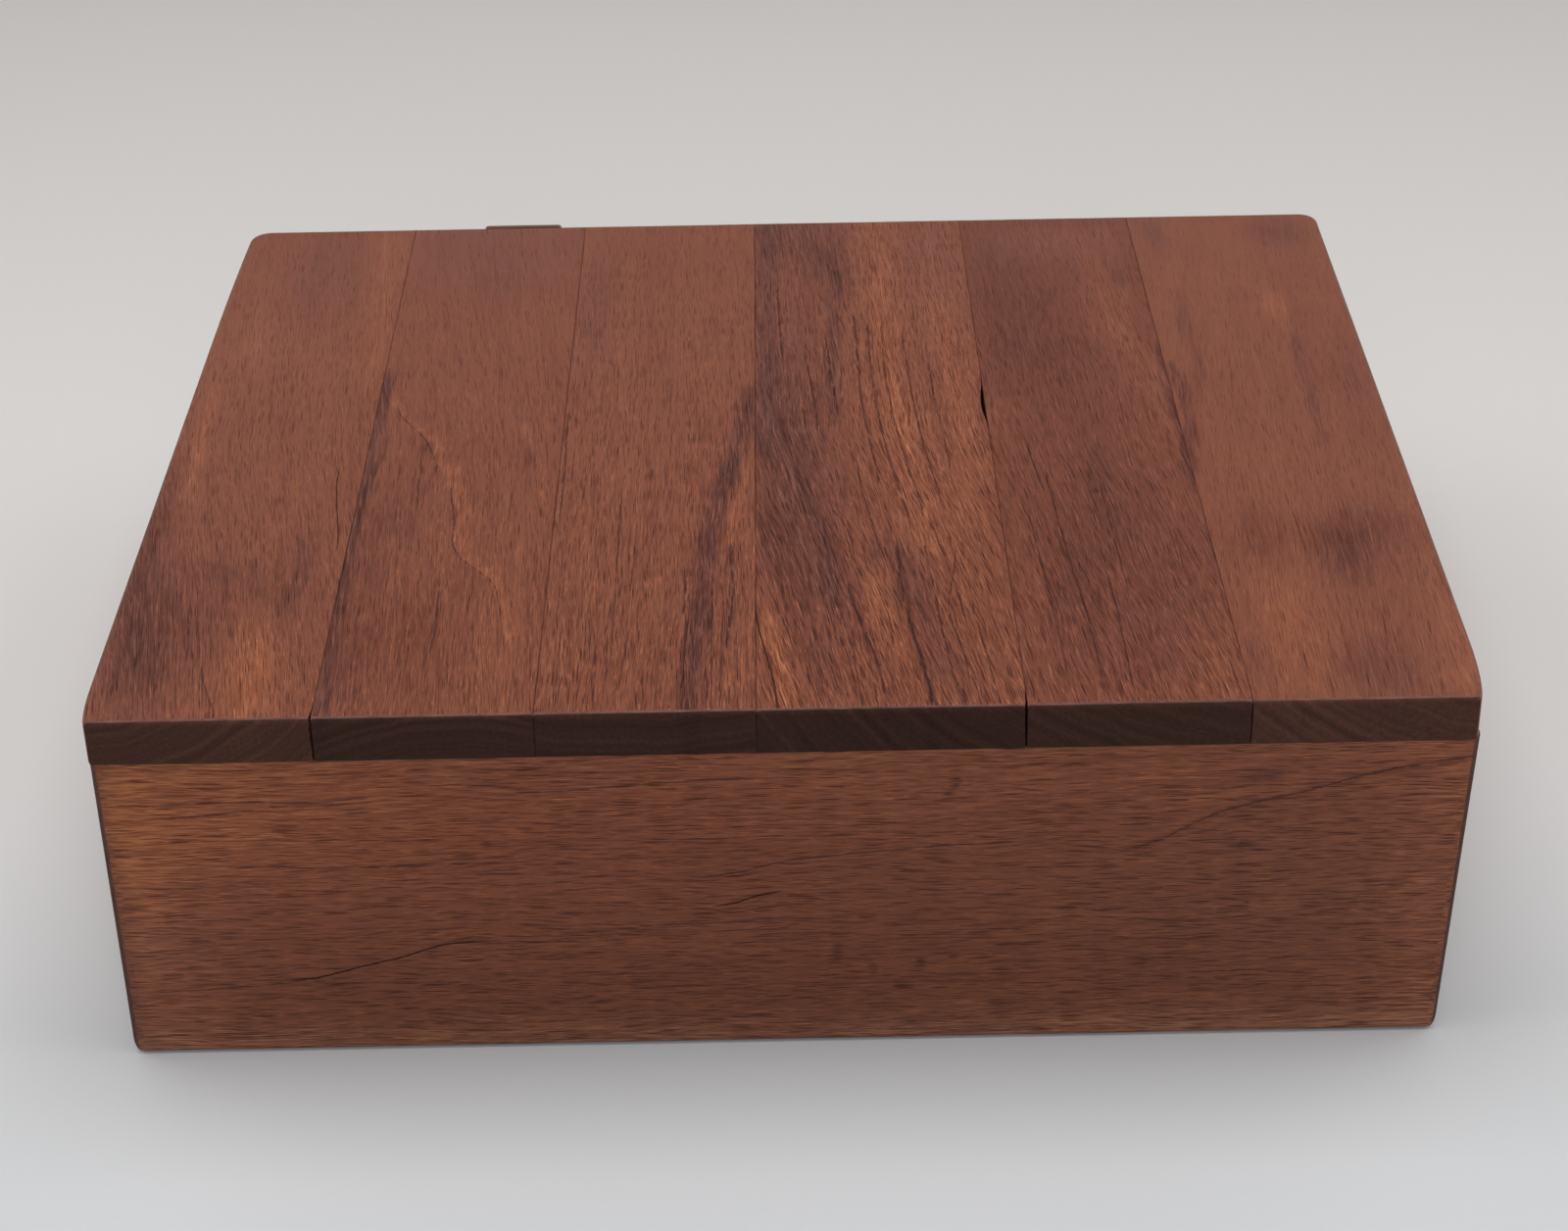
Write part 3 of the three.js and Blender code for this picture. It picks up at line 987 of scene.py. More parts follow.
@dataclass(frozen=True)
class Figure:
    """The figure of one board: its base tone, how its grain leans, its pores, pith and marks.

    Places are millimetres along the grain and across it, on the lid from its middle, on a wall from its
    middle along and from the table up. The painted sheen, a pair, is what is added to tone and smoke in
    100 mm along: painted light. Between the two end edges, as parts of the normal along the grain, a face
    turns into end grain. The wear and glint is how strong the pale line on the edge between them is,
    partly wear and partly a painted highlight.
    """

    tone: float = 0.0
    end_tone: float = 0.0
    smoke: float = 0.0
    lean: Pair = (0.0, 0.0)
    pores: float = 0.5
    contrast: Pair = (1.0, 1.0)
    painted_sheen: Pair = (0.0, 0.0)
    end_edge: Pair = (0.38, 0.5)
    wear_and_glint: float = 0.0
    pith: Pair = (20.0, -45.0)
    marks: tuple[Mark, ...] = ()
    lines: tuple[Line, ...] = ()
    seed: int = 1

    painted_sheen_length: ClassVar[float] = 100.0
    seed_shift: ClassVar[Vector3] = (427.0, 61.0, 183.0)
    ragged_edges: ClassVar[tuple[Ripple, ...]] = (
        Ripple(0.45, (24.0, 2.6), 40), Ripple(0.26, (10.0, 1.1), 60), Ripple(0.16, (6.0, 0.6), 80))
    ring_waves: ClassVar[Ripple] = Ripple(0.25, (60.0, 9.0))
    # Where the pale line of wear and painted highlight is strongest, as the normal's part along the grain,
    # and its width.
    rubbed: ClassVar[Pair] = (0.48, 0.09)
    edge_start_facing: ClassVar[Pair] = (0.17, 0.1)
    edge_start_tone: ClassVar[float] = -0.08
    far_from_lines: ClassVar[float] = 9.0

    def paint(self, mesh: Mesh, along: Array, across: Array, deep: Array, grain_axis: int) -> None:
        """Stores the vertex values that the wood finish reads.

        The grain leans by lean[0] before the middle and lean[1] behind it, so the place across the
        grain is across less that slope times along. Tone holds the marks alone, and base the board's
        tone and its painted sheen, which is painted light. Smoke and pores hold the marks and the
        board's own value together, and smoke the painted sheen too. The wear and glint, a pale line that
        is partly wear and partly a painted highlight, is strongest where the normal's part along the grain
        is rubbed[0]. It needs a normal that points up by more than 0.4, and is full from 0.6. The wood is a
        little darker where the face starts to round over into the end, where the part along the grain is
        about 0.17. The ring value is the distance from the pith, slightly waved.
        The contrast goes evenly from its first value at the lowest place along to its second at the
        highest.

        Args:
            mesh: The board's mesh.
            along: Each vertex's place along the grain.
            across: Each vertex's place across the grain.
            deep: Each vertex's depth under the face.
            grain_axis: The axis that the grain runs along, 0 for X or 1 for Y.
        """
        straight = across - np.where(along < 0, *self.lean) * along
        ragged = sum((edge.at(along, across, self.seed) for edge in self.ragged_edges), across)
        sums = {key: np.zeros(len(along)) for key in ("tone", "smoke", "pores")}
        for mark in self.marks:
            weight = mark.weight(along, ragged)
            for key, total in sums.items():
                total += getattr(mark, key) * weight
        normals = triples(mesh.vertex_normals, "vector")
        facing = np.abs(normals[:, grain_axis])
        upward = np.clip(normals[:, 2] * 5 - 2, 0, 1)
        offsets, halves = np.full((len(along), 3), self.far_from_lines), np.zeros((len(along), 3))
        for line in self.lines:
            line.draw(along, across, offsets, halves)
        shift = self.seed * np.array(self.seed_shift)
        painted_sheen = along / self.painted_sheen_length
        reach = (along - along.min()) / np.ptp(along)
        waves = self.ring_waves.at(along, across, self.seed)
        values = {
            "grain": np.stack([along, straight, deep], -1) + shift,
            "end": smooth_step((facing - self.end_edge[0]) / (self.end_edge[1] - self.end_edge[0])),
            # A pale line on the upper rounded edge of the ends: partly wear, partly a painted highlight.
            "wear_and_glint": self.wear_and_glint * upward * bell(facing - self.rubbed[0], self.rubbed[1]),
            "end_tone": np.full(len(along), self.end_tone),
            # A little darker where the face starts to round over into the end.
            "tone": sums["tone"] + self.edge_start_tone * self.wear_and_glint * bell(
                facing - self.edge_start_facing[0], self.edge_start_facing[1]),
            # base and smoke: the painted sheen is painted light, lighter and greyer towards the back of the
            # lid.
            "base": self.tone + self.painted_sheen[0] * painted_sheen,
            "smoke": np.clip(sums["smoke"] + self.smoke + self.painted_sheen[1] * painted_sheen, -1, 1),
            "contrast": self.contrast[0] + (self.contrast[1] - self.contrast[0]) * reach,
            "pores": np.clip(sums["pores"] + self.pores, 0, 1),
            "line_offset": offsets,
            "line_half": halves,
            "ring": np.hypot(straight - self.pith[0], deep - self.pith[1]) + waves + shift[1],
        }
        for name, value in values.items():
            set_attribute(mesh, name, value)


@dataclass(frozen=True)
class LidFigure(Figure):
    """A lid board's figure: its ends carry a pale line of wear and painted highlight, and painted sheen
    makes its tone and smoke lighter and greyer from front to back.
    """

    # Painted light: tone and smoke grow lighter and greyer towards the back of the lid, as sheen.
    painted_sheen: Pair = (0.14, 0.2)
    end_edge: Pair = (0.4, 0.47)
    wear_and_glint: float = 1.0


# The six boards of the lid, from the left, with their marks as they show on top
LID_FIGURES = (
    LidFigure(seed=1, tone=0.03, end_tone=0.22, lean=(-0.16, -0.09), pores=0.5, contrast=(0.95, 0.2),
              pith=(-105.0, -30.0), marks=(
        Patch((-44, -86.4), (20, 3.2), -0.36, 0.42, -0.06), Patch((-62, -82.4), (12, 4.4), -0.3, 0.25),
        Patch((-50, -80), (12, 7), -0.22, 0.1), Patch((-46, -69), (8, 6), -0.18, 0.12),
        Patch((32, -82), (16, 5), 0.1), Patch((-24, -88), (14, 1.6), -0.25, 0.1),
        Patch((-65, -69), (11, 5), 0.08, -0.1),
        Streak(((-76, -67.8), (-62, -68.6), (-50, -70.6)), 8, 2.4, 0.2, -0.14),
        Patch((-38, -77), (3, 2.2), -0.18, 0.25, -0.2),
        Streak(((-48, -66.5), (-36, -65.2), (-30, -66)), 4, 1.0, -0.2, 0.3),
        Streak(((76, -65), (50, -64), (26, -62.8)), 16, 2.6, 0.13, -0.09),
        Patch((58, -74), (16, 6), -0.05, 0.2), Streak(((14, -85.8), (-12, -84.6)), 8, 0.9, 0.2, -0.14),
    ), lines=(
        Line(((-49, -79.2), (-59, -77.4)), 4, 0.09, ROW_A),
        Line(((-64, -75.2), (-75, -71.6)), 3, 0.11, ROW_B),
        Line(((-13, -63.8), (-22, -62.6), (-30, -61.4)), 4, 0.07, CRACK),
    )),
    LidFigure(seed=2, tone=0.02, end_tone=-0.18, lean=(-0.06, -0.12), pores=0.42, contrast=(1.0, 0.2),
              pith=(-46.0, 40.0), marks=(
        Streak(((21, -60), (5, -59.7), (-8, -59.3), (-24, -59.6), (-38, -59.8)), 4, 0.95, -0.42, 0.7),
        Streak(((-38, -59.8), (-50, -59.4), (-62, -58.8), (-78, -58.7)), 5, 1.2, -0.3, 0.45),
        Patch((-34, -57), (20, 3.6), -0.13, 0.05), Patch((-57, -50), (12, 8), -0.2),
        Patch((66, -47), (15, 15), -0.03, 0.28), Patch((56, -45), (7, 4), -0.07, 0.1),
        Patch((-2.5, -52), (1.7, 1.1), -0.35, 0.3), Patch((-7.5, -36.2), (2.8, 0.55), -0.45, 0.4, -0.12),
        Streak(((12, -58.4), (7, -56.2), (3, -53.6), (-1, -50.6), (-8, -49), (-16, -46.6), (-24, -45.3),
            (-32, -45), (-37, -43), (-40.5, -39.8), (-46, -37.9), (-58, -35.8)), 2, 0.34, 0.28, -0.19),
        Streak(((-10, -47.2), (-20, -44.7), (-31, -44), (-38, -41), (-42, -37.9), (-56, -34.8)),
            3, 0.3, 0.22, -0.16), Streak(((2, -38), (-12, -34.4), (-25, -33)), 4, 0.28, 0.2, -0.14),
        Patch((-62, -57), (13, 3.2), -0.1, 0.2), Patch((-62, -36), (14, 4), 0.07),
        Patch((-24, -53.5), (12, 4), -0.12, 0.14),
    ), lines=(
        Line(((-6, -52.3), (-20, -51.5)), 4, 0.09, ROW_A),
        Line(((8, -57.4), (2, -53.4), (-2, -51.6), (-9, -49.7)), 3, 0.11, ROW_B),
        Line(((-16, -47.2), (-25, -45.9), (-33, -45.6), (-38, -42.9), (-41.5, -39.3), (-50, -37.4)),
            3, 0.12, ROW_B), Line(((-47, -46.2), (-55, -45.8)), 3, 0.08, ROW_A),
    )),
    LidFigure(seed=3, tone=0.05, end_tone=-0.2, lean=(-0.01, -0.03), pores=0.6, contrast=(1.15, 0.2),
              pith=(-20.0, -70.0), marks=(
        Streak(((13, -4.4), (0, -5.9), (-8, -7.4), (-20, -9), (-30, -10.3), (-45, -10.8), (-60, -11.6),
            (-78, -12)), 4, 1.5, -0.42, 0.55, 0.4), Patch((-11, -7.4), (5, 1.0), -0.08, 0.3, 0.05),
        Streak(((-1, -6.6), (-14, -5.1), (-25, -6.5), (-32, -7.6)), 4, 0.4, 0.28, -0.2),
        Streak(((-36, -7.2), (-46, -6.7), (-58, -7.4)), 4, 0.4, -0.36, 0.4),
        Patch((40, -30), (20, 3), -0.07, 0.2),
    ), lines=(
        Line(((6, -31.8), (-8, -31.4), (-24, -31.2)), 4, 0.13, ROW_A),
        Line(((-22, -22.8), (-58, -22.4)), 6, 0.08, ROW_B),
        Line(((-34, -20.4), (-46, -20.6)), 4, 0.09, ROW_A),
        Line(((-43, -13.4), (-58, -12.8), (-78, -13)), 4, 0.15, ROW_B),
        Line(((-40, -9.6), (-60, -9.4), (-78, -9.2)), 4, 0.1, ROW_A),
        Line(((-50, -8), (-66, -8.2), (-78, -8)), 4, 0.08, ROW_B),
        Line(((-36, -7.2), (-46, -6.7), (-58, -7.4)), 4, 0.17, ROW_A),
    )),
    LidFigure(seed=4, tone=-0.02, end_tone=-0.32, lean=(-0.16, -0.05), pores=0.62, contrast=(1.35, 0.5),
              pith=(34.0, -28.0), marks=(
        Streak(((78, -2.6), (40, -2.6), (10, -2.4), (-6, -2.2)), 5, 1.9, -0.24, 0.5),
        Patch((10, 1.0), (26, 5.0), -0.17, 0.35), Patch((-12, 2.0), (16, 5.4), -0.2, 0.3),
        Patch((-37, 1.8), (15, 5.4), -0.24, 0.35), Patch((-28, -2.6), (15, 2.6), -0.16, 0.15),
        Patch((57, 7.6), (9, 3.2), -0.22, 0.35, -0.03), Patch((68, 3), (13, 7), -0.2, 0.3),
        Streak(((54, 8.6), (42, 8.3), (32, 7.6), (18, 7.2), (6, 7.8)), 3, 1.1, -0.28, 0.4),
        Streak(((78, 14.5), (50, 15.5), (20, 15.6), (0, 17), (-20, 18.6), (-36, 20)),
            5, 3.8, 0.2, -0.14, 0.25), Streak(((40, 25), (10, 26), (-24, 27)), 12, 2.6, 0.16, -0.12),
        Streak(((34, 15), (16, 16.4), (-4, 18)), 6, 0.6, 0.14, -0.1),
        Patch((60, 25), (18, 4), 0.04, 0.12),
        Streak(((-50, -2.6), (-62, -1.2), (-78, 1)), 8, 1.5, 0.26, -0.19),
        Streak(((-12, 2), (-25, 4.2), (-35, 6.4), (-48, 6.9)), 4, 0.6, -0.28, 0.4),
        Streak(((-37, 15.6), (-50, 16), (-60, 17.1), (-70, 18.4), (-78, 18.7)), 4, 0.45, -0.5, 0.5),
        Streak(((-47, 8.6), (-57, 10.6), (-66, 12.2), (-78, 13.2)), 4, 0.4, -0.42, 0.3),
        Patch((-44, 6.3), (8, 2.2), -0.22, 0.45, -0.1), Patch((-36.5, 15), (2.6, 3.2), -0.24, 0.3),
        Patch((-44, 17.2), (7, 1.4), -0.22, 0.45, -0.1),
        Patch((-60, 19.8), (12, 1.3), -0.18, 0.25, -0.12), Patch((-62, 4.5), (9, 2.6), -0.2, 0.25, -0.15),
        Patch((-28, 9), (5, 1.8), 0.1, -0.07, -0.15), Patch((-50, 12.4), (9, 1.7), 0.16, -0.12, -0.12),
        Patch((-66, 15.4), (11, 1.2), 0.14, -0.1, -0.12), Patch((-48, 25), (20, 2.6), 0.14, -0.1, -0.1),
        Patch((-12, 25), (20, 3), 0.04),
    ), lines=(
        Line(((-49, -4), (-57, -3.2), (-63, -2.2), (-70, -1.2), (-77, -0.7)), 3, 0.12, CRACK),
        Line(((48, -0.8), (32, -0.4), (27, 0)), 4, 0.15, ROW_A),
        Line(((24, 3.4), (12, 4.6), (2, 5)), 4, 0.13, ROW_B),
        Line(((-22, 6.4), (-30, 9), (-36, 9.6)), 3, 0.12, ROW_A),
        Line(((31, 6.6), (20, 7.2), (8, 8)), 4, 0.13, ROW_B),
        Line(((-47, 8.6), (-57, 10.6), (-66, 12.2), (-78, 13.2)), 4, 0.17, ROW_A),
        Line(((-60, 8.8), (-70, 9.6), (-78, 10)), 4, 0.12, ROW_B),
        Line(((-15, 10.7), (-25, 11.9), (-35, 13.1)), 4, 0.13, ROW_A),
        Line(((-62, 10.9), (-78, 12)), 4, 0.1, ROW_B),
        Line(((-37, 15.6), (-50, 16), (-60, 17.1), (-70, 18.4), (-78, 18.7)), 4, 0.19, ROW_A),
        Line(((-36, 19.4), (-46, 20), (-58, 20.8), (-68, 21.5), (-77, 23.2)), 4, 0.15, ROW_B),
        Line(((-28, 20.4), (-40, 22.2), (-51, 23.7)), 4, 0.13, ROW_A),
        Line(((-52, 25), (-66, 26.4), (-74, 27.2)), 4, 0.11, ROW_B),
        Line(((38, 11.2), (22, 11.4), (10, 11.6), (-2, 12.4), (-14, 13.6)), 3, 0.17, ROW_A),
        Line(((34, 13.2), (18, 13.4), (2, 14.2), (-12, 15.6), (-26, 17.4)), 3, 0.16, ROW_B),
        Line(((36, 15.4), (20, 15.3), (4, 16.2), (-10, 17.6), (-24, 19.4)), 3, 0.13, ROW_A),
        Line(((30, 18.6), (12, 19.2), (-4, 20.2), (-20, 22)), 4, 0.14, ROW_B),
        Line(((26, 22), (8, 22.6), (-10, 23.8)), 4, 0.12, ROW_A),
        Line(((-38, 23.4), (-52, 21.6), (-66, 23.6)), 3, 0.14, ROW_B),
    )),
    LidFigure(seed=5, tone=-0.17, smoke=0.06, end_tone=-0.15, lean=(-0.12, -0.05), pores=0.55,
              contrast=(1.2, 0.22), pith=(62.0, -60.0), marks=(
        Patch((66, 42), (9, 12), 0.15, 0.12), Patch((52, 36), (20, 8), -0.12, 0.22),
        Patch((24, 39), (14, 10), -0.16, 0.25, -0.1), Patch((26, 54), (15, 3.4), 0.1, -0.08, -0.3),
        Patch((44, 52), (24, 4.2), 0.14, -0.1), Patch((14, 56), (14, 3), 0.08),
        Streak(((42, 47.7), (30, 48.4), (20, 51), (10, 54.4), (-2, 57)), 5, 0.35, 0.15, -0.11),
        Streak(((24, 58), (8, 58.4), (-10, 58.2), (-16, 58.2)), 6, 0.9, -0.5, 0.5),
        Streak(((-32, 58.4), (-42, 58.5)), 4, 0.7, -0.2, 0.3), Patch((52, 54), (4, 1.1), -0.16, 0.3),
        Patch((-19, 45.4), (16, 3), -0.2, 0.28, -0.05), Patch((-46, 40), (22, 4.4), -0.18, 0.22, -0.03),
        Patch((-44, 50), (22, 5), -0.08, 0.18), Patch((-66, 55), (10, 3.4), 0.18, -0.14),
        Patch((-74, 44), (3, 14), 0.1, -0.07), Patch((4, 32), (5, 2.4), 0.12, -0.09, pores=0.2),
        Patch((-19.6, 44.2), (0.5, 0.4), -0.9),
    ), lines=(
        Line(((-8, 35.4), (-22, 37), (-38, 39.4), (-46, 41)), 4, 0.12, ROW_A),
        Line(((-20, 44.8), (-40, 45.6)), 5, 0.11, ROW_B),
        Line(((-16, 37.4), (-34, 38.4), (-52, 39.8), (-70, 40.6)), 4, 0.12, ROW_A),
        Line(((-28, 34.2), (-48, 35.4), (-66, 36.2)), 4, 0.1, ROW_B),
        Line(((-36, 43.2), (-54, 44), (-72, 44.2)), 4, 0.1, ROW_A),
    )),
    LidFigure(seed=6, tone=0.05, end_tone=0.35, lean=(0.03, 0.05), pores=0.3, contrast=(0.7, 0.15),
              pith=(100.0, -40.0), marks=(
        Patch((-39, 76.4), (8, 3.4), -0.36, 0.32, 0.03),
        Streak(((19, 58.6), (12, 59.7), (2, 59.7), (-8, 59), (-14, 58.4)), 3, 0.95, -0.38, 0.3),
        Patch((-34, 73), (6, 12), -0.14), Patch((-60, 87), (16, 3), 0.14),
        Patch((12, 86), (20, 3), -0.08, 0.12), Patch((69, 80.5), (4, 3.4), -0.14, 0.18),
        Patch((66, 62), (6, 2.4), -0.1, 0.16),
        Streak(((44, 63), (24, 63.4), (12, 62.6)), 5, 0.8, -0.14, 0.1),
        Patch((40, 77), (5, 1.6), 0.12, -0.1), Patch((-32, 81), (7, 5), -0.16, 0.2),
        Patch((-30, 83), (2, 5), -0.1), Patch((-69, 76), (6.5, 4.6), -0.25, 0.3),
        Patch((-33, 65), (8, 2.4), -0.14, 0.1), Patch((-66, 61), (7, 1.3), -0.16, 0.2),
        Patch((15, 84), (7, 5), -0.08), Streak(((26, 78.8), (8, 78.6), (-4, 78.2)), 6, 0.8, -0.2, 0.25),
        Patch((-58, 66), (15, 4.6), 0.15, -0.11), Patch((-16, 68), (14, 5), 0.05),
        Patch((48, 62), (18, 4), 0.03), Patch((38, 77.5), (8, 1.2), 0.12, -0.09),
        Patch((-71, 85), (1.6, 2.4), 0.18, -0.13), Patch((68, 83), (8, 4), -0.07, 0.15),
        Patch((72, 61), (8, 2.4), -0.1, 0.2), Patch((35, 62), (7, 0.8), -0.14, 0.2),
    ), lines=(
        Line(((-63, 66.8), (-67.5, 66.9)), 2, 0.09, ROW_A),
        Line(((-28, 70.8), (-38, 71)), 2, 0.08, ROW_A), Line(((-56, 78.6), (-62, 78)), 2, 0.09, ROW_B),
    )),
)


@dataclass(frozen=True)
class Opening:
    """An open place in a glued joint: the board on its left stands back from it.

    It is widest at the middle of its run along the joint, and closes below its depth.
    """

    joint: int
    along: float
    reach: float
    width: float
    depth: float
    jagged: float = 0.0


LID_OPENINGS = (
    Opening(joint=0, along=-78.0, reach=6.0, width=0.5, depth=9.0, jagged=0.16),
    Opening(joint=3, along=8.0, reach=8.5, width=0.62, depth=2.4),
    Opening(joint=3, along=-78.0, reach=7.0, width=0.42, depth=9.0, jagged=0.12),
    Opening(joint=4, along=-78.0, reach=4.0, width=0.26, depth=9.0, jagged=0.1),
)


@dataclass
class Lid:
    """The lid: six boards that run from front to back, glued edge to edge and sanded as one slab."""

    across_step: float = 0.25
    along_step: float = 0.9
    rim_rows: int = 12
    unevenness: float = 0.03
    dips: Ripple = Ripple(0.5, (70.0, 40.0), 11)
    zigzag: Ripple = Ripple(1.0, (1.7, 9.0), 21)
    seam_reach: float = 0.6
    figures: tuple[Figure, ...] = LID_FIGURES

    def __post_init__(self) -> None:
        """Reads the slab and its joints from the frame."""
        names = [f"lid_board_{i + 1}" for i in range(len(self.figures))]
        self.extent = Extent.of(*names)
        self.centre = self.extent.centre
        self.half = (self.extent.size[0] / 2, self.extent.size[1] / 2)
        rights = [Extent.of(name).high[0] for name in names[:-1]]
        self.joints = [right + (SIZES.glue_line - skew) / 2
                       for right, skew in zip(rights, SIZES.joint_skews)]

    def joint(self, index: int, y: Array) -> Array:
        """Where a joint lies at each place along: its middle less the skew times the share behind it."""
        return self.joints[index] - SIZES.joint_skews[index] * y / (2 * self.half[1])

    def beside(self, x: Array, y: Array) -> Array:
        """Distance inward from the lid's nearer side, whose left one bows in towards the back.

        The bow is its depth times the square of the share of the way from its start to the back.

        Args:
            x: Places across the lid.
            y: Places along it.

        Returns:
            The distance, negative outside.
        """
        half_x, half_y = self.half
        start = SIZES.lid_bow_start
        bow = SIZES.lid_left_bow * np.clip((y - start) / (half_y - start), 0, 1) ** 2
        return np.minimum(x + half_x - bow, half_x - x)

    def corner(self, x: Array, y: Array) -> tuple[Array, Array]:
        """The across and along radius of the corner that each place is nearest to.

        Args:
            x: Places across the lid.
            y: Places along it.

        Returns:
            The radii across and the radii along.
        """
        nearest = (x > 0) + 2 * (y > 0)
        across, along = np.array(SIZES.lid_corners).T
        return across[nearest], along[nearest]

    def inward(self, x: Array, y: Array) -> Array:
        """Distance inward from the lid's outline, a rectangle with four elliptical corners.

        At a corner, with k the length of (qx, qy), the shares of the way from the ellipse's centre to
        either side, it is (1 - k) over the length of k's gradient, and nowhere more than the distance
        from either side.

        Args:
            x: Places across the lid.
            y: Places along it.

        Returns:
            The distance, 0 outside.
        """
        across, along = self.corner(x, y)
        side, end = self.beside(x, y), self.half[1] - np.abs(y)
        qx, qy = np.maximum(1 - side / across, 0), np.maximum(1 - end / along, 0)
        k = np.hypot(qx, qy)
        slope = np.hypot(qx / across, qy / along) / np.maximum(k, 1e-6)
        rounded = np.where((qx > 0) & (qy > 0), (1 - k) / np.maximum(slope, 1e-6), np.inf)
        return np.maximum(np.minimum(np.minimum(side, end), rounded), 0)

    def sheet(self, board: int, upper: bool) -> Array:
        """The upper or lower face of one board.

        The grid's first parameter runs across between the board's two edges, the second along between
        the lid's front and back outlines, both found in two rounds because each depends on the other.
        The left edge of the first board follows the lid's bow. The height is the face's, less the
        quarter round of the distance to the lid's outline, less a slight unevenness on top.

        Args:
            board: The board's place from the left, from 0.
            upper: True for the face on top.

        Returns:
            Grid of points, with y from the lid's middle.
        """
        first, last = board == 0, board == len(self.figures) - 1
        half_x, half_y = self.half
        glue = SIZES.drawn_glue
        width = (half_x if last else self.joints[board]) - (-half_x if first else self.joints[board - 1])
        share = stations(width, self.across_step, (first, last))[:, None] / width
        places = stations(2 * half_y, self.along_step) / half_y - 1
        part = np.broadcast_to(places, (len(share), len(places)))
        y = part * half_y
        for _ in range(2):
            if first:
                left = -half_x - np.minimum(self.beside(np.full_like(y, -half_x), y), 0)
            else:
                left = self.joint(board - 1, y) + glue
            right = np.full_like(y, half_x) if last else self.joint(board, y) - glue
            x = left + (right - left) * share
            across, along = self.corner(x, part)
            rounding = np.clip(1 - self.beside(x, y) / across, 0, 1)
            y = part * (half_y - along * (1 - np.sqrt(1 - rounding**2)))
        distance = self.inward(x, y)
        if upper:
            fall = quarter_round(distance, SIZES.lid_top_rounding)
            z = self.extent.high[2] - fall - self.unevenness * (0.5 + self.dips.at(y, x, 0))
        else:
            z = self.extent.low[2] + quarter_round(distance, SIZES.lid_under_rounding)
        return np.stack([x, y, z], -1)

    def open_joints(self, board: int, points: Array) -> None:
        """Moves the board's right edge away from the joint where it has opened.

        The shift is the opening's width, times cos^2 along its run, times the square root of the share
        of its depth that is left, and it fades to nothing one millimetre into the board.

        Args:
            board: The board's place from the left, from 0.
            points: The board's points, changed in place.
        """
        x, y, z = points.T
        for opening in LID_OPENINGS:
            if opening.joint != board:
                continue
            run = np.clip((y - opening.along) / opening.reach, -1, 1)
            deep = np.clip(1 - (self.extent.high[2] - z) / opening.depth, 0, 1)
            near = np.clip(1 - (self.joint(board, y) - x), 0, 1)
            width = opening.width + opening.jagged * self.zigzag.at(z, y, board)
            gap = width * np.cos(run * np.pi / 2) ** 2
            points[:, 0] -= np.maximum(gap, 0) * np.sqrt(deep) * near

    def build(self, finish: Material) -> None:
        """Makes the six boards, each with its nearness to a glued joint stored as the value seam.

        Args:
            finish: The wood.
        """
        for i, figure in enumerate(self.figures):
            body = Surface.from_sheets(self.sheet(i, True), self.sheet(i, False), self.rim_rows)
            self.open_joints(i, body.points)
            along, across = body.points[:, 1].copy(), body.points[:, 0].copy()
            deep = self.extent.high[2] - body.points[:, 2]
            body.points[:, 1] += self.centre[1]
            name = f"lid_board_{i + 1}"
            mesh = body.mesh(f"figured_{name}")
            figure.paint(mesh, along, across, deep, grain_axis=1)
            own = [index for index in (i - 1, i) if 0 <= index < len(self.joints)]
            apart = np.min([np.abs(across - self.joint(index, along)) for index in own], axis=0)
            set_attribute(mesh, "seam", np.maximum(self.seam_reach - apart, 0))
            add_piece(f"figured_{name}", mesh, name, Body.LID, finish)


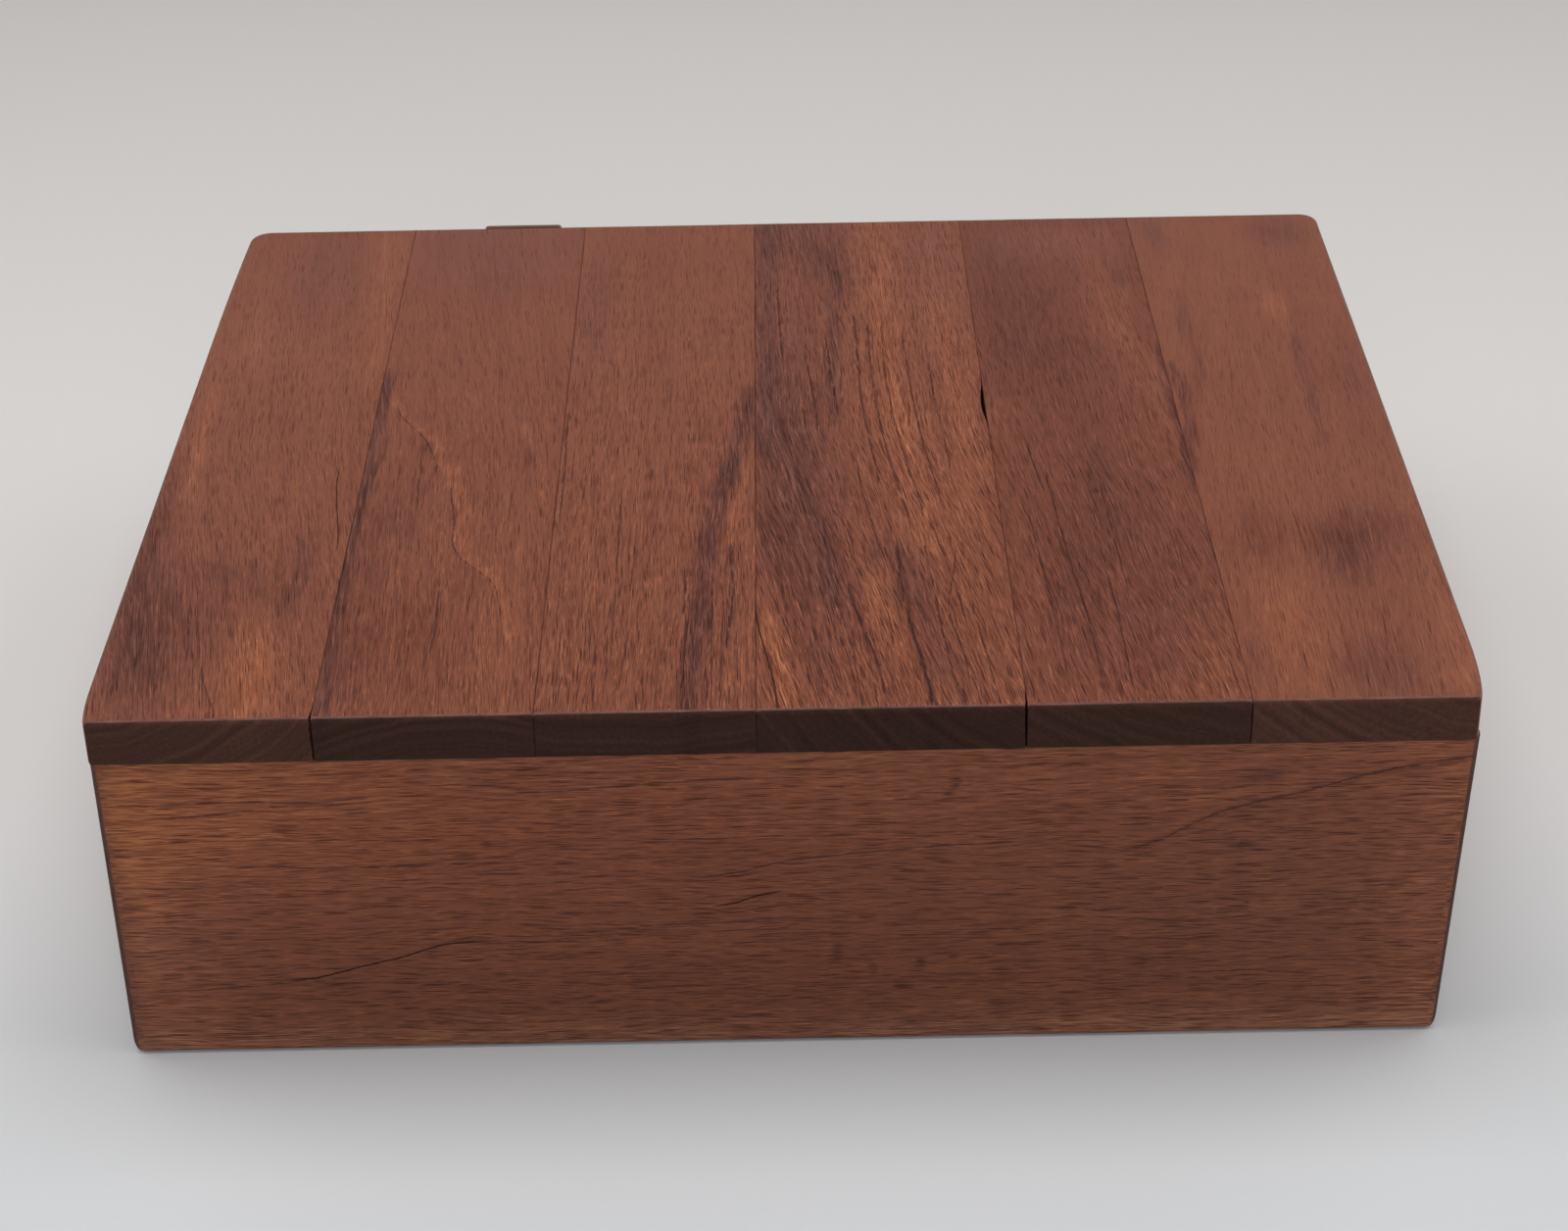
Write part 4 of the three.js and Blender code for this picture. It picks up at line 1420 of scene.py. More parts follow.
# The front board, with places along from its middle and across from the table up
FRONT_FIGURE = Figure(seed=9, tone=-0.08, pores=0.62, pith=(60.0, -80.0), marks=(
    # The first three patches are painted light on the board: lighter towards its top, a little darker in the
    # middle, lighter and greyer at the foot.
    Patch((0, 50), (400, 22), 0.2, -0.14), Patch((0, 24), (400, 12), -0.06),
    Patch((0, 0), (400, 5), 0.38, 0.5), Patch((60, 1), (34, 5), 0.13), Patch((-84, 18), (10, 30), 0.26),
    Patch((86, 18), (9, 30), 0.27), Patch((-36, 32), (34, 14), smoke=-0.15),
    Patch((64, 24), (26, 30), smoke=0.14), Patch((61, 42), (6, 3), -0.16),
    Patch((-40, 12), (26, 8), -0.07), Patch((-74, 38), (26, 14), 0.2, -0.14),
    # Patch((-88.6, 22), ...) is painted shade: a dark strip down the board's left end, where its rounded
    # edge turns from the light.
    Patch((-50, 20), (34, 12), 0.08), Patch((-88.6, 22), (1.5, 60), -0.35, 0.35),
    Patch((-85, 30), (4, 14), 0.12, -0.09), Patch((12, 8), (40, 9), -0.06),
    Patch((-82, 18), (6, 4), -0.08, 0.25), Patch((-76, 27), (6, 0.8), -0.14, 0.1),
    Streak(((46, 30.6), (50, 33), (55, 35.9), (60, 37.5), (66, 38.8), (72, 40.9), (79, 42.6),
        (90, 44.3)), 5, 0.42, -0.3), Streak(((54, 37.6), (62, 39.8), (70, 42.6)), 6, 0.9, 0.16, -0.12),
    Streak(((46, 41.6), (52, 42.6), (58, 43.6)), 6, 0.9, 0.16, -0.12),
    Patch((61, 41.6), (2.4, 1.4), -0.26, 0.2), Patch((59, 31.2), (1.1, 0.7), -0.6, 0.3),
    Patch((59.6, 21.7), (0.8, 0.4), -0.5), Patch((21.6, 41.6), (0.45, 0.9), -0.9, lean=0.6),
    Patch((21, 39.6), (0.5, 0.5), -0.9), Patch((6.2, 15), (0.3, 1.3), -0.6),
    Patch((10.9, 11.8), (0.35, 0.8), -0.6), Patch((17.2, 12.6), (0.3, 0.8), -0.6),
    Patch((-6, 10.4), (0.8, 0.25), -0.6), Patch((-39, 33.2), (0.3, 0.8), -0.6),
    Patch((21.6, 13.6), (0.5, 0.4), -0.6),
), lines=(
    Line(((-80, 10.4), (-70, 11), (-63, 12), (-56, 14.1), (-49.5, 15.7), (-46.5, 17.2), (-40, 17.7),
        (-28, 17.3)), 8, 0.08, ROW_A),
    Line(((-63, 12), (-56, 14.1), (-49.5, 15.7), (-46.5, 17.2), (-44, 17.6)), 4, 0.1, CRACK),
    Line(((-26, 18.8), (-18, 19.8), (-10, 20)), 5, 0.13, ROW_B),
    Line(((-8, 22.6), (-2.5, 24.9)), 2, 0.12, CRACK),
    Line(((-9, 27.4), (0, 29.8), (10, 30.7), (22, 31.8)), 5, 0.13, ROW_A),
    Line(((-40, 30.2), (-60, 29.8), (-70, 30.4)), 6, 0.13, ROW_B),
    Line(((46, 30.6), (50, 33), (55, 35.9), (60, 37.5), (66, 38.8), (72, 40.9), (79, 42.6), (90, 44.3)),
        5, 0.14, ROW_A), Line(((-79, 38), (-72, 38.7), (-66, 39.5), (-60, 39.6)), 4, 0.13, ROW_B),
    Line(((-85, 40), (-70, 40.4), (-58, 39.8)), 6, 0.13, ROW_A),
    Line(((-30, 41), (-18, 42), (-6, 42.6)), 6, 0.13, ROW_B),
))


@dataclass(frozen=True)
class Dent:
    """A small dent in a face: place along and across, reach and depth."""

    at: Pair
    reach: float
    depth: float


FRONT_DENTS = (
    Dent((21.5, 41.2), 0.8, 0.16), Dent((59, 31.2), 1.0, 0.1), Dent((61, 41.6), 1.6, 0.1),
    Dent((6.2, 15), 0.6, 0.06), Dent((10.9, 11.8), 0.5, 0.05), Dent((17.2, 12.6), 0.5, 0.05),
    Dent((-6, 10.4), 0.5, 0.05), Dent((59.6, 21.7), 0.5, 0.06),
)


@dataclass
class Walls:
    """The body: front and back boards lapped over the ends of two side boards, grooved for the bottom."""

    across_step: float = 0.25
    along_step: float = 0.9
    plain_step: float = 0.8
    rim_rows: int = 10
    step_width: float = 0.02

    def __post_init__(self) -> None:
        """Reads the boards and the bottom panel from the frame."""
        self.front = Extent.of("front_board")
        self.back = Extent.of("back_board")
        self.side = {-1: Extent.of("left_side_board"), 1: Extent.of("right_side_board")}
        self.panel = Extent.of("bottom_panel")
        self.height = self.front.high[2]
        self.half_width = self.front.high[0]
        self.inner = self.half_width - SIZES.wall
        self.groove = (self.panel.low[2] - SIZES.panel_play, self.panel.high[2] + SIZES.panel_play)

    def side_face(self, side: int, z: Array) -> Array:
        """How far out a side stands at each height: the right one leans in towards its foot."""
        lean = SIZES.right_side_lean * (1 - z / self.height) if side > 0 else 0
        return self.half_width - lean - quarter_round(z, SIZES.foot_side_rounding)

    def heights(self, step: float) -> Array:
        """Heights of the grid rows, with a pair at each edge of the groove.

        Args:
            step: Usual distance between two rows.

        Returns:
            The heights, rising.
        """
        z = stations(self.height, step)
        low, high = self.groove
        edges = [low, low + self.step_width, high - self.step_width, high]
        apart = np.min(np.abs(z[:, None] - np.array(edges)[None]), axis=1) > 2 * self.step_width
        return np.sort(np.concatenate([z[apart], edges]))

    def in_groove(self, z: Array) -> Array:
        """Whether each height lies within the groove."""
        return (z > self.groove[0] + self.step_width / 2) & (z < self.groove[1] - self.step_width / 2)

    def long_board(self, front: bool, step: float) -> Surface:
        """The front or back board.

        Across the board the places run between the two side faces at that height. The outer face
        falls back by the largest of the arris rounding at the ends and the roundings at foot and top.
        The inner face steps up to the lap at each end, and down into the groove.

        Args:
            front: True for the front board, False for the back board.
            step: Distance between the grid's rows.

        Returns:
            The closed board.
        """
        inner, lap = self.inner, SIZES.wall
        part = stations(lap, self.along_step, (True, False))
        middle_half = inner - self.step_width
        middle = stations(2 * middle_half, self.along_step, (False, False)) - inner + self.step_width
        z = self.heights(step)[None]
        left = -inner - (lap - part)[:, None] / lap * (self.side_face(-1, z) - inner)
        right = inner + (lap - part)[::-1][:, None] / lap * (self.side_face(1, z) - inner)
        x = np.concatenate([left, np.broadcast_to(middle[:, None], (len(middle), z.shape[1])), right])
        z = np.broadcast_to(z, x.shape)
        lean = SIZES.right_side_lean * (1 - z / self.height) * (x > 0)
        fall = np.maximum.reduce([
            quarter_round(self.half_width - lean - np.abs(x), SIZES.body_arris),
            quarter_round(z, SIZES.foot_front_rounding),
            quarter_round(self.height - z, SIZES.top_edge_rounding)])
        if front:
            for dent in FRONT_DENTS:
                fall = fall + dent.depth * bell(np.hypot(x - dent.at[0], z - dent.at[1]), dent.reach)
        between_laps = np.abs(x) < inner - self.step_width / 2
        depth = np.where(between_laps, np.where(self.in_groove(z), lap - SIZES.groove_depth, lap),
                         SIZES.corner_lap)
        face, inward = (self.front.low[1], 1) if front else (self.back.high[1], -1)
        outer = np.stack([x, face + inward * fall, z], -1)
        return Surface.from_sheets(outer, np.stack([x, face + inward * depth, z], -1), self.rim_rows)

    def side_board(self, side: int, step: float) -> Surface:
        """A side board: the outer face follows the lean and the rounded foot, the inner one is grooved.

        Args:
            side: -1 for the left board, 1 for the right one.
            step: Distance between the grid's rows.

        Returns:
            The closed board.
        """
        extent = self.side[side]
        y = (extent.low[1] + stations(extent.size[1], self.along_step, (False, False)))[:, None]
        y, z = np.broadcast_arrays(y, self.heights(step)[None])
        fall = quarter_round(self.height - z, SIZES.top_edge_rounding)
        outer = np.stack([side * (self.side_face(side, z) - fall), y, z], -1)
        face = self.inner + SIZES.glue_line + np.where(self.in_groove(z), SIZES.groove_depth, 0)
        return Surface.from_sheets(outer, np.stack([side * face, y, z], -1), self.rim_rows)

    def bottom(self) -> Surface:
        """The bottom panel, a plain thin board.

        Returns:
            The closed board.
        """
        low, high = self.panel.low, self.panel.high
        x, y = (low[i] + stations(high[i] - low[i], self.plain_step, (False, False)) for i in (0, 1))
        x, y = np.broadcast_arrays(x[:, None], y[None])
        upper, lower = (np.stack([x, y, np.full_like(x, end[2])], -1) for end in (high, low))
        return Surface.from_sheets(upper, lower, rim_rows=3)

    def build(self, walls: Material, bottom: Material) -> None:
        """Makes the four walls and the bottom.

        Args:
            walls: The walls' wood.
            bottom: The bottom panel's wood.
        """
        middle_y = (self.front.low[1] + self.back.high[1]) / 2
        boards = (
            ("front_board", self.long_board(True, self.across_step), FRONT_FIGURE, 0),
            ("back_board", self.long_board(False, self.plain_step),
             Figure(seed=10, tone=-0.04, lean=(0.02, 0.03), pores=0.6, pith=(90.0, -60.0)), 0),
            ("left_side_board", self.side_board(-1, self.plain_step),
             Figure(seed=12, tone=0.02, lean=(0.03, 0.01), pores=0.6, pith=(70.0, -50.0)), 1),
            ("right_side_board", self.side_board(1, self.plain_step),
             Figure(seed=13, tone=-0.06, lean=(-0.02, 0.02), pores=0.6, pith=(-30.0, -70.0)), 1),
        )
        for name, body, figure, grain_axis in boards:
            mesh = body.mesh(f"figured_{name}")
            x, y, z = body.points.T
            along, deep = (x, np.abs(y - middle_y)) if grain_axis == 0 else (y - middle_y, np.abs(x))
            figure.paint(mesh, along, z, deep, grain_axis)
            add_piece(f"figured_{name}", mesh, name, Body.BOX, walls)
        body = self.bottom()
        mesh = body.mesh("sanded_bottom_panel")
        figure = Figure(seed=15, lean=(0.01, -0.01), pores=0.55, pith=(-200.0, -30.0))
        figure.paint(mesh, *body.points.T, grain_axis=0)
        add_piece("sanded_bottom_panel", mesh, "bottom_panel", Body.BOX, bottom)


# Hinges


def carried_across(profile: Array, x: Array) -> Mesh:
    """A closed profile of (y, z) points carried along X, with a flat face at each end.

    Args:
        profile: Points round the section.
        x: Places of its copies.

    Returns:
        The mesh, in millimetres.
    """
    n, m = len(x), len(profile)
    points = np.stack([np.repeat(x, m), np.tile(profile[:, 0], n), np.tile(profile[:, 1], n)], -1)
    ids = np.arange(n * m).reshape(n, m)
    mesh = bpy.data.meshes.new("carried")
    faces = between_rings(ids).tolist() + [ids[0][::-1].tolist(), ids[-1].tolist()]
    mesh.from_pydata(points.tolist(), [], faces)
    return turned_outward(mesh)


def turned(profile: Array, steps: int, axis: int) -> Mesh:
    """A profile of (radius, place) points, from axis to axis, turned about one axis.

    Args:
        profile: The points; the first and last lie on the axis.
        steps: Facets round the axis.
        axis: 0 to turn about X, 1 to turn about Y.

    Returns:
        The mesh, in millimetres, its poles closed.
    """
    angle = np.arange(steps) * 2 * np.pi / steps
    ring = profile[1:-1]
    columns = [np.outer(ring[:, 0], np.cos(angle)).ravel(), np.outer(ring[:, 0], np.sin(angle)).ravel()]
    columns.insert(axis, np.repeat(ring[:, 1], steps))
    points = np.stack(columns, -1)
    poles = np.zeros((2, 3))
    poles[:, axis] = profile[[0, -1], 1]
    ids = np.arange(len(ring) * steps).reshape(-1, steps)
    ahead = np.roll(ids, -1, axis=1)
    first, last = len(points), len(points) + 1
    caps = [[first, int(b), int(a)] for a, b in zip(ids[0], ahead[0])]
    caps += [[last, int(a), int(b)] for a, b in zip(ids[-1], ahead[-1])]
    mesh = bpy.data.meshes.new("turned")
    mesh.from_pydata(np.concatenate([points, poles]).tolist(), [], between_rings(ids).tolist() + caps)
    return turned_outward(mesh)


def block(low: Vector3, high: Vector3) -> Mesh:
    """A rectangular block between two opposite corners, in millimetres."""
    profile = np.array([(low[1], low[2]), (high[1], low[2]), (high[1], high[2]), (low[1], high[2])])
    return carried_across(profile, np.array([low[0], high[0]]))


def turned_outward(mesh: Mesh) -> Mesh:
    """The mesh with its faces pointing out, judged by the sign of its volume.

    Args:
        mesh: The mesh, changed in place.

    Returns:
        The same mesh.
    """
    mesh.update()
    mesh.calc_loop_triangles()
    corners = triples(mesh.loop_triangles, "vertices", np.int32)
    a, b, c = triples(mesh.vertices, "co")[corners].transpose(1, 0, 2)
    if np.einsum("ij,ij->", a, np.cross(b, c)) < 0:
        mesh.flip_normals()
    return mesh


def carved(blank: Mesh, cutters: list[tuple[Mesh, str]]) -> Mesh:
    """A mesh after its cutters have been taken away from it, or met with it.

    Args:
        blank: The mesh to carve.
        cutters: Each cutter with DIFFERENCE or INTERSECT.

    Returns:
        The carved mesh, still in millimetres.
    """
    piece = linked("blank", blank)
    tools = []
    for mesh, operation in cutters:
        tools.append(linked("cutter", mesh))
        modifier = piece.modifiers.new("carve", "BOOLEAN")
        modifier.object, modifier.operation, modifier.solver = tools[-1], operation, "EXACT"
    graph = bpy.context.evaluated_depsgraph_get()
    result = bpy.data.meshes.new_from_object(piece.evaluated_get(graph))
    for spent in [piece, *tools]:
        bpy.data.objects.remove(spent)
    return result


@dataclass
class Hinge:
    """A small butt hinge: two leaves rolled into knuckles round a pin, and four countersunk screws."""

    side: str
    round_steps: int = 28
    length_steps: int = 14
    corner_steps: int = 6
    dome_steps: int = 4
    pin_dome_power: float = 0.7
    slot_turn: float = math.pi / 5
    least_wear: float = 0.3
    barrel_wear: float = 0.4

    def __post_init__(self) -> None:
        """Reads the hinge's place and the heights of its leaves from the frame."""
        self.lid_leaf = Extent.of(f"{self.side}_hinge_lid_leaf")
        self.body_leaf = Extent.of(f"{self.side}_hinge_body_leaf")
        self.bore = SIZES.pin_diameter / 2 + SIZES.pin_play
        self.outer = self.bore + SIZES.leaf_thickness
        self.half_length = self.body_leaf.size[0] / 2
        self.axis = np.array([self.body_leaf.centre[0], *(self.body_leaf.high[1:] - self.outer)])

    def rolled_section(self, height: float) -> Array:
        """The section of a leaf in y and z from the pin's axis, its strip upward.

        The strip's outer face runs down at y = -outer, goes round the pin on the outer radius until it
        is back at the strip, and returns on the bore radius. Each arc is radius times (cos, sin).

        Args:
            height: How far the strip reaches from the axis.

        Returns:
            The section's points.
        """
        end = -self.bore + SIZES.roll_slit
        outer_angle = np.linspace(np.pi, 2 * np.pi + math.acos(end / self.outer), self.round_steps + 1)
        bore_angle = np.linspace(2 * np.pi + math.acos(end / self.bore), np.pi, self.round_steps + 1)
        around = self.outer * np.stack([np.cos(outer_angle), np.sin(outer_angle)], -1)
        back = self.bore * np.stack([np.cos(bore_angle), np.sin(bore_angle)], -1)
        return np.concatenate([[(-self.outer, height)], around, back, [(-self.bore, height)]])

    def leaf(self, height: float, notches: list[Pair]) -> Mesh:
        """One leaf, its strip upward, with its notches, screw holes and two rounded corners.

        Args:
            height: How far the strip reaches from the axis.
            notches: Start and end of each notch along the pin.

        Returns:
            The leaf, in millimetres round the pin's axis.
        """
        half, past = self.half_length, 2 * self.half_length
        blank = carried_across(self.rolled_section(height), np.linspace(-half, half, self.length_steps + 1))
        top = self.outer + SIZES.knuckle_gap
        cutters = [(block((a, -past, -past), (b, past, top)), "DIFFERENCE") for a, b in notches]
        head = SIZES.screw_head / 2 + SIZES.screw_head_play
        shank = SIZES.screw_shank / 2 + SIZES.screw_shank_play
        clear, beyond = 4.0, 0.01
        hole_profile = np.array([(0, -clear), (shank, -clear), (shank, shank - head), (head, 0),
                                 (head, clear), (0, clear)])
        for place in (-SIZES.screw_spacing / 2, SIZES.screw_spacing / 2):
            hole = turned(hole_profile, self.round_steps, axis=1)
            hole.transform(Matrix.Translation((place, -self.bore, SIZES.screw_height)))
            cutters.append((hole, "DIFFERENCE"))
        r = SIZES.leaf_corner
        turn = np.linspace(0, np.pi / 2, self.corner_steps + 1)
        right = np.stack([half - r + r * np.cos(turn), height - r + r * np.sin(turn)], -1)
        left = np.stack([-half + r - r * np.sin(turn), height - r + r * np.cos(turn)], -1)
        outline = np.concatenate([[(-half - beyond, -past), (half + beyond, -past)], right, left])
        plate = carried_across(outline, np.array([-past, past]))
        plate.transform(Matrix(((0, 1, 0, 0), (1, 0, 0, 0), (0, 0, 1, 0), (0, 0, 0, 1))))
        cutters.append((turned_outward(plate), "INTERSECT"))
        return carved(blank, cutters)

    def screw(self, slot_angle: float) -> Mesh:
        """A countersunk screw whose slightly domed, slotted head faces +Y, its middle at y = 0.

        Args:
            slot_angle: How far the slot is turned from lying along the hinge, in radians.

        Returns:
            The screw, in millimetres.
        """
        head, shank, length = SIZES.screw_head / 2, SIZES.screw_shank / 2, SIZES.screw_length
        (tip, taper), (rim_low, rim_high) = SIZES.screw_tip, SIZES.screw_rim
        outward = 1 - np.linspace(0, 1, self.dome_steps + 1)[1:, None]
        crown = np.concatenate([head * outward, -rim_high * outward**2], axis=1)
        profile = np.concatenate([
            [(0, -length), (shank * tip, taper - length), (shank, 2 * shank - length),
             (shank, shank - head), (head, -rim_low), (head, -rim_high)], crown])
        cutter = block((-head * 2, -SIZES.slot_depth - rim_high, -SIZES.slot_width / 2),
                       (head * 2, 1, SIZES.slot_width / 2))
        cutter.transform(Matrix.Rotation(slot_angle, 4, "Y"))
        return carved(turned(profile, self.round_steps, axis=1), [(cutter, "DIFFERENCE")])

    def pin(self) -> Mesh:
        """The pin, with a low domed head at each end.

        Returns:
            The pin, in millimetres round its own middle.
        """
        extent = Extent.of(f"{self.side}_hinge_pin")
        radius, half, head = SIZES.pin_diameter / 2, extent.size[0] / 2, extent.size[2] / 2
        inner = self.half_length + SIZES.knuckle_gap / 2
        rim = inner + SIZES.pin_rim
        turn = np.linspace(0, np.pi / 2, self.corner_steps + 1)
        dome = np.stack([head * np.cos(turn) ** self.pin_dome_power, rim + (half - rim) * np.sin(turn)], -1)
        dome[-1, 0] = 0
        end = np.concatenate([[(radius, inner), (head, inner)], dome])
        start = end[::-1] * np.array([1, -1])
        return turned(np.concatenate([start, end]), self.round_steps, axis=0)

    def dress(self, part: str, mesh: Mesh, body: Body, finish: Material) -> None:
        """Moves a mesh made round the hinge's axis to its place and stores its wear.

        The wear goes from the least on the strip's inner face to the least and the barrel's together
        at the back of the barrel, evenly with the distance between.

        Args:
            part: Which of the hinge's nodes it stands for.
            mesh: The mesh, in millimetres.
            body: The body it rides on.
            finish: Its finish.
        """
        points = triples(mesh.vertices, "co")
        back = np.clip((points[:, 1] + self.bore) / (self.bore + self.outer), 0, 1)
        mesh.vertices.foreach_set("co", ((points + self.axis) * MM).astype(np.float32).ravel())
        mesh.update()
        set_attribute(mesh, "wear", self.least_wear + self.barrel_wear * back)
        finish_shading(mesh)
        node = f"{self.side}_hinge_{part}"
        add_piece(f"fine_{node}", mesh, node, body, finish)

    def build(self, brass: Material, screws: Material) -> None:
        """Makes the leaves, the pin and the screws.

        Args:
            brass: Finish of the leaves and the pin.
            screws: Finish of the screws.
        """
        middle, past = SIZES.middle_knuckle / 2, 3 * self.half_length
        lid_height = self.lid_leaf.high[2] - self.axis[2]
        body_height = self.axis[2] - self.body_leaf.low[2]
        lid_leaf = self.leaf(lid_height, [(-past, -middle), (middle, past)])
        clear = middle + SIZES.knuckle_gap
        body_leaf = self.leaf(body_height, [(-clear, clear)])
        body_leaf.transform(Matrix.Rotation(math.pi, 4, "Y"))
        for part, mesh, body in (("lid_leaf", lid_leaf, Body.LID), ("body_leaf", body_leaf, Body.BOX),
                                 ("pin", self.pin(), Body.BOX)):
            self.dress(part, mesh, body, brass)
        for body, part, up in ((Body.LID, "lid", 1), (Body.BOX, "body", -1)):
            for i, place in enumerate((-1, 1)):
                mesh = self.screw((i + (up < 0)) * self.slot_turn)
                mesh.transform(Matrix.Translation((
                    place * SIZES.screw_spacing / 2, -self.bore, up * SIZES.screw_height)))
                self.dress(f"{part}_screw_{i + 1}", mesh, body, screws)


# Studio


@dataclass(frozen=True)
class Lamp:
    """A square soft light: its place, the point it faces and its side in metres, and its power in watts."""

    name: str
    place: Vector3
    aim: Vector3
    size: float
    power: float
    colour: Vector3


WARM, COOL = (1.02, 0.98, 0.96), (0.9, 1.0, 1.11)
LAMPS = (
    Lamp("overhead", (0.0, 0.0, 0.6), (0.0, 0.0, 0.03), 0.4, 1.52, WARM),
    Lamp("left", (-0.4, 0.0, 0.45), (-0.1, 0.0, 0.0), 0.35, 0.6, WARM),
    Lamp("right", (0.4, 0.0, 0.45), (0.1, 0.0, 0.0), 0.35, 0.56, WARM),
    Lamp("front", (0.0, -1.0, 0.6), (0.0, 0.0, 0.03), 0.6, 3.1, COOL),
    Lamp("back_left", (-0.5, 0.5, 0.5), (0.0, 0.0, 0.0), 0.5, 0.64, WARM),
    Lamp("back_right", (0.5, 0.5, 0.5), (0.0, 0.0, 0.0), 0.5, 0.62, WARM),
)


def aim(thing: bpy.types.Object, axes: tuple[Array, Array, Array], place: Array) -> None:
    """Puts a lamp or the camera at a place, its X, Y and Z along three directions."""
    rows = np.stack([*axes, place], -1).tolist()
    thing.matrix_world = Matrix([*rows, [0, 0, 0, 1]])


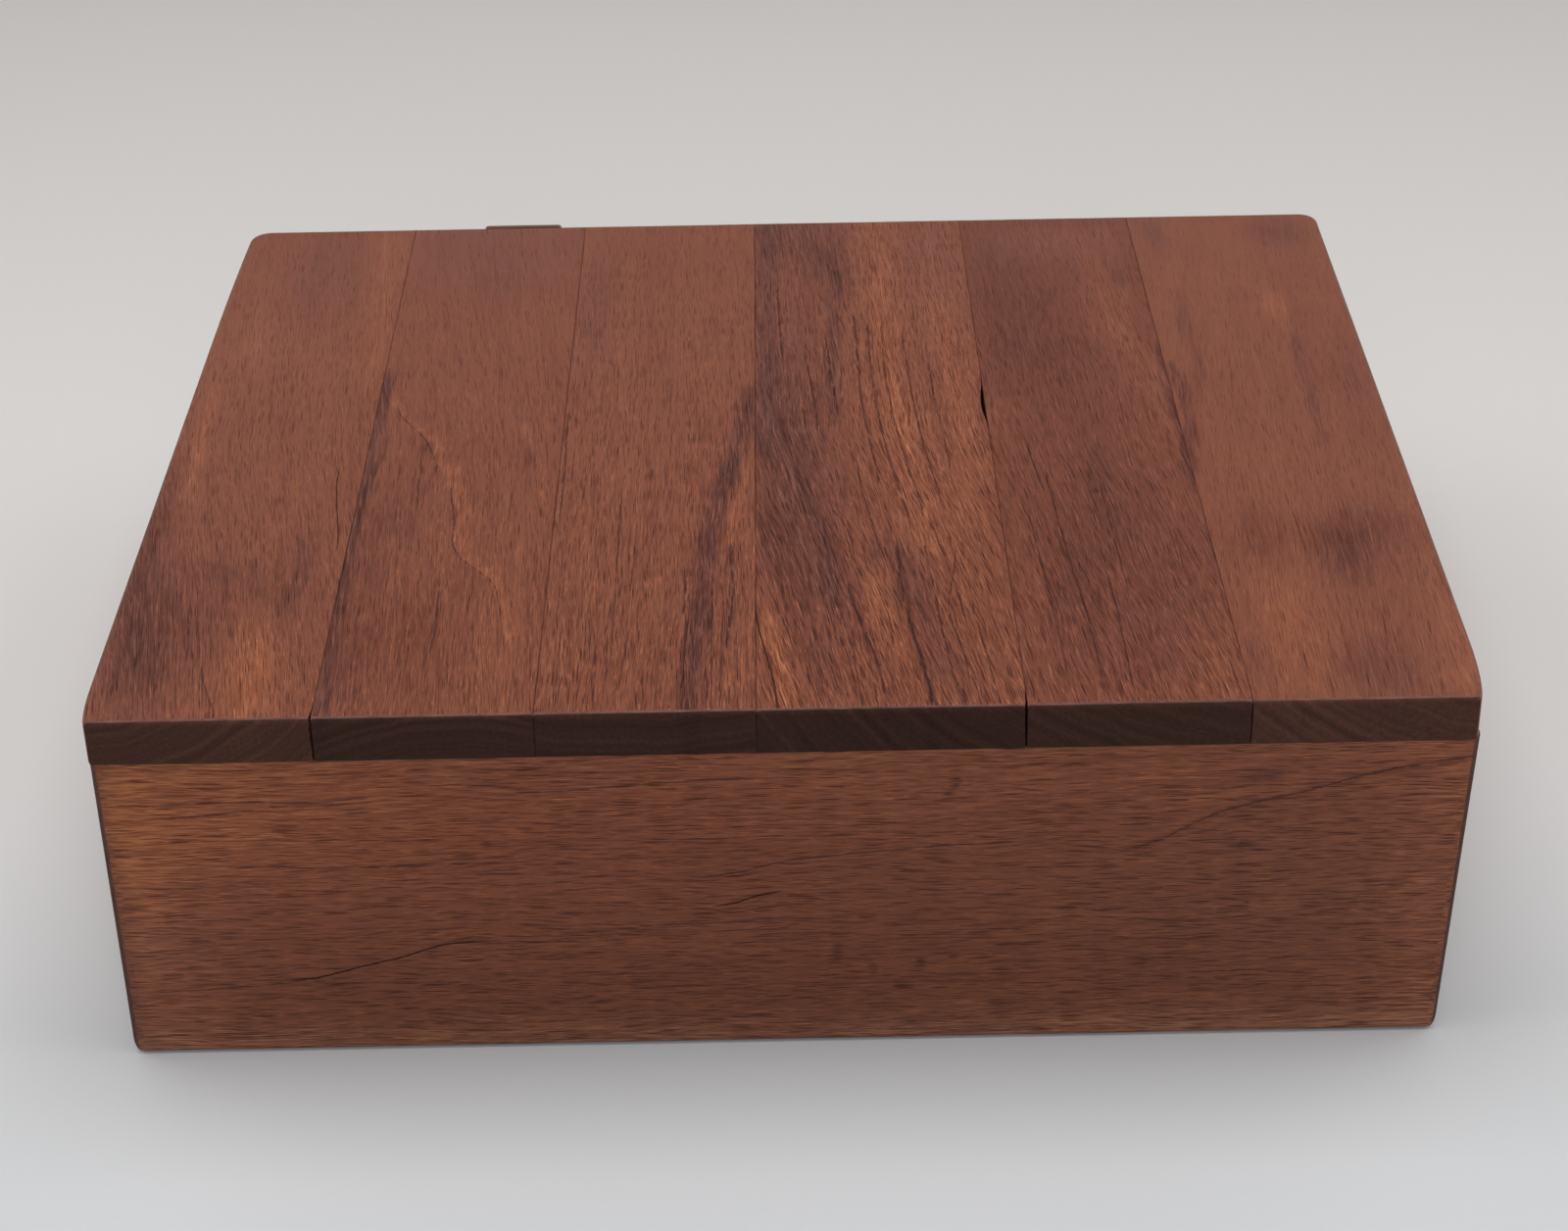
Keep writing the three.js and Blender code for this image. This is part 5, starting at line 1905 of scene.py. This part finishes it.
@dataclass
class Studio:
    """Pale floor, soft light and the camera at the photograph's viewing angle.

    The floor and the lamps are in metres. The camera's place is in millimetres, its angles in degrees
    and its focal length and principal offset in pixels of a picture frame_width wide.
    """

    floor_radii: tuple[float, ...] = (0.25, 0.6, 1.4, 4.0)
    floor_steps: int = 96
    floor_colour: Vector3 = (0.8, 0.79, 0.775)
    # Painted shade: a cool tint on the floor in front of the box.
    painted_shade_tint: Vector3 = (0.765, 0.8, 0.82)
    front_edges: Pair = (0.05, -0.16)
    near_edges: Pair = (0.45, 0.25)
    mottle: Layer = Layer(0.12, 0.12, 3.0)
    mottle_fit: Pair = (0.006, 0.994)
    far_glow: float = 0.55
    glow_edges: Pair = (0.4, 0.9)
    floor_roughness: float = 0.75
    floor_gloss: float = 0.4
    world_colour: Vector3 = (1.0, 0.985, 0.965)
    world_strength: float = 0.106
    camera_place: Vector3 = (3.688, -410.804, 265.191)
    pitch: float = 30.749
    yaw: float = -0.187
    roll: float = -0.964
    focal_pixels: float = 3208.5
    principal_offset: float = 37.4
    frame_width: float = 1600.0
    sensor: float = 36.0
    clip: Pair = (0.01, 50.0)

    def floor(self) -> None:
        """A flat round floor of rings about the origin, with a painted cool shade tint in front of the box,
        and glowing far off.
        """
        count, steps = len(self.floor_radii), self.floor_steps
        angle = np.linspace(0, 2 * np.pi, steps + 1)[:-1]
        radii = np.array(self.floor_radii)[:, None]
        rings = np.stack([radii * np.cos(angle), radii * np.sin(angle), np.zeros((count, steps))], -1)
        points = np.concatenate([rings.reshape(-1, 3), np.zeros((1, 3))])
        ids = np.arange(count * steps).reshape(count, steps)
        faces = between_rings(ids)[:, ::-1].tolist()
        faces += [[count * steps, int(a), int(b)] for a, b in zip(ids[0], np.roll(ids[0], -1))]
        mesh = bpy.data.meshes.new("floor")
        mesh.from_pydata(points.tolist(), [], faces)
        s = Shader("pale_floor")
        place = s.node("ShaderNodeTexCoord").outputs["Object"]
        far = s.node("ShaderNodeVectorMath", {0: place}, operation="LENGTH").outputs["Value"]
        # Painted shade: the floor is tinted cool in front of the box, near it.
        shade_tint = s.times(s.smooth(s.parts(place)[1], *self.front_edges), s.smooth(far, *self.near_edges))
        base = s.mix(shade_tint, self.floor_colour, self.painted_shade_tint)
        shade = s.ramp(s.scaled(s.noise(place, self.mottle), *self.mottle_fit),
                       [(0.0, (0, 0, 0)), (1.0, (1, 1, 1))])
        mesh.materials.append(s.finish(
            Base_Color=s.mix(1.0, base, shade, "MULTIPLY"), Roughness=self.floor_roughness,
            Specular_IOR_Level=self.floor_gloss, Emission_Color=(*self.floor_colour, 1.0),
            Emission_Strength=s.times(s.smooth(far, *self.glow_edges), self.far_glow)))
        linked("floor", mesh)

    def light(self, lamp: Lamp) -> None:
        """Puts a lamp in the scene, facing its point.

        Args:
            lamp: The lamp.
        """
        light = bpy.data.lights.new(lamp.name, "AREA")
        light.shape, light.size, light.energy, light.color = "SQUARE", lamp.size, lamp.power, lamp.colour
        away = np.array(lamp.place) - np.array(lamp.aim)
        away = away / np.linalg.norm(away)
        upright = abs(away[2]) > 0.9
        across = np.cross([0.0, 1.0, 0.0] if upright else [0.0, 0.0, 1.0], away)
        across /= np.linalg.norm(across)
        aim(linked(lamp.name, light), (across, np.cross(away, across), away), np.array(lamp.place))

    def world(self) -> None:
        """An even pale surround."""
        world = bpy.data.worlds.new("surround")
        world.use_nodes = True
        background = world.node_tree.nodes["Background"]
        background.inputs["Color"].default_value = (*self.world_colour, 1.0)
        background.inputs["Strength"].default_value = self.world_strength
        bpy.context.scene.world = world

    def camera(self) -> None:
        """The camera, looking ahead from level, then pitched down, turned left and rolled."""
        pitch, yaw, roll = (math.radians(value) for value in (self.pitch, self.yaw, self.roll))
        forward = np.array([-math.sin(yaw) * math.cos(pitch), math.cos(yaw) * math.cos(pitch),
                            -math.sin(pitch)])
        level = np.array([math.cos(yaw), math.sin(yaw), 0.0])
        upright = np.cross(level, forward)
        right = math.cos(roll) * level + math.sin(roll) * upright
        up = -math.sin(roll) * level + math.cos(roll) * upright
        data = bpy.data.cameras.new("camera")
        data.sensor_fit, data.sensor_width = "HORIZONTAL", self.sensor
        data.lens = self.focal_pixels / self.frame_width * self.sensor
        data.shift_x = -self.principal_offset / self.frame_width
        data.clip_start, data.clip_end = self.clip
        camera = linked("camera", data)
        aim(camera, (right, up, -forward), np.array(self.camera_place) * MM)
        bpy.context.scene.camera = camera

    def build(self) -> None:
        """Makes the floor, the lights and the camera."""
        bpy.context.scene.view_settings.view_transform = "Standard"
        self.floor()
        self.world()
        for lamp in LAMPS:
            self.light(lamp)
        self.camera()


def main() -> None:
    """Builds every sub-assembly round the frame."""
    logging.basicConfig(level=logging.INFO, format="%(message)s")
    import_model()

    Studio().build()
    lid_wood = WoodFinish("oiled_lid_wood", colour=(0.222, 0.0725, 0.0418))
    wall_wood = WoodFinish("oiled_wall_wood", colour=(0.199, 0.0557, 0.0231), end_colour=(0.09, 0.04, 0.03),
                           fibres=0.42, flecks=0.26)
    bottom_wood = WoodFinish("sanded_bottom_wood", colour=(0.24, 0.11, 0.065), roughness=0.62, relief=0.02)
    Lid().build(lid_wood.material())
    Walls().build(wall_wood.material(), bottom_wood.material())
    hinge_brass = BrassFinish("darkened_hinge_brass").material()
    screw_brass = BrassFinish("darkened_screw_brass", rubbed=0.9, roughness=0.38).material()
    for side in ("left", "right"):
        Hinge(side).build(hinge_brass, screw_brass)


if __name__ == "__main__":
    main()
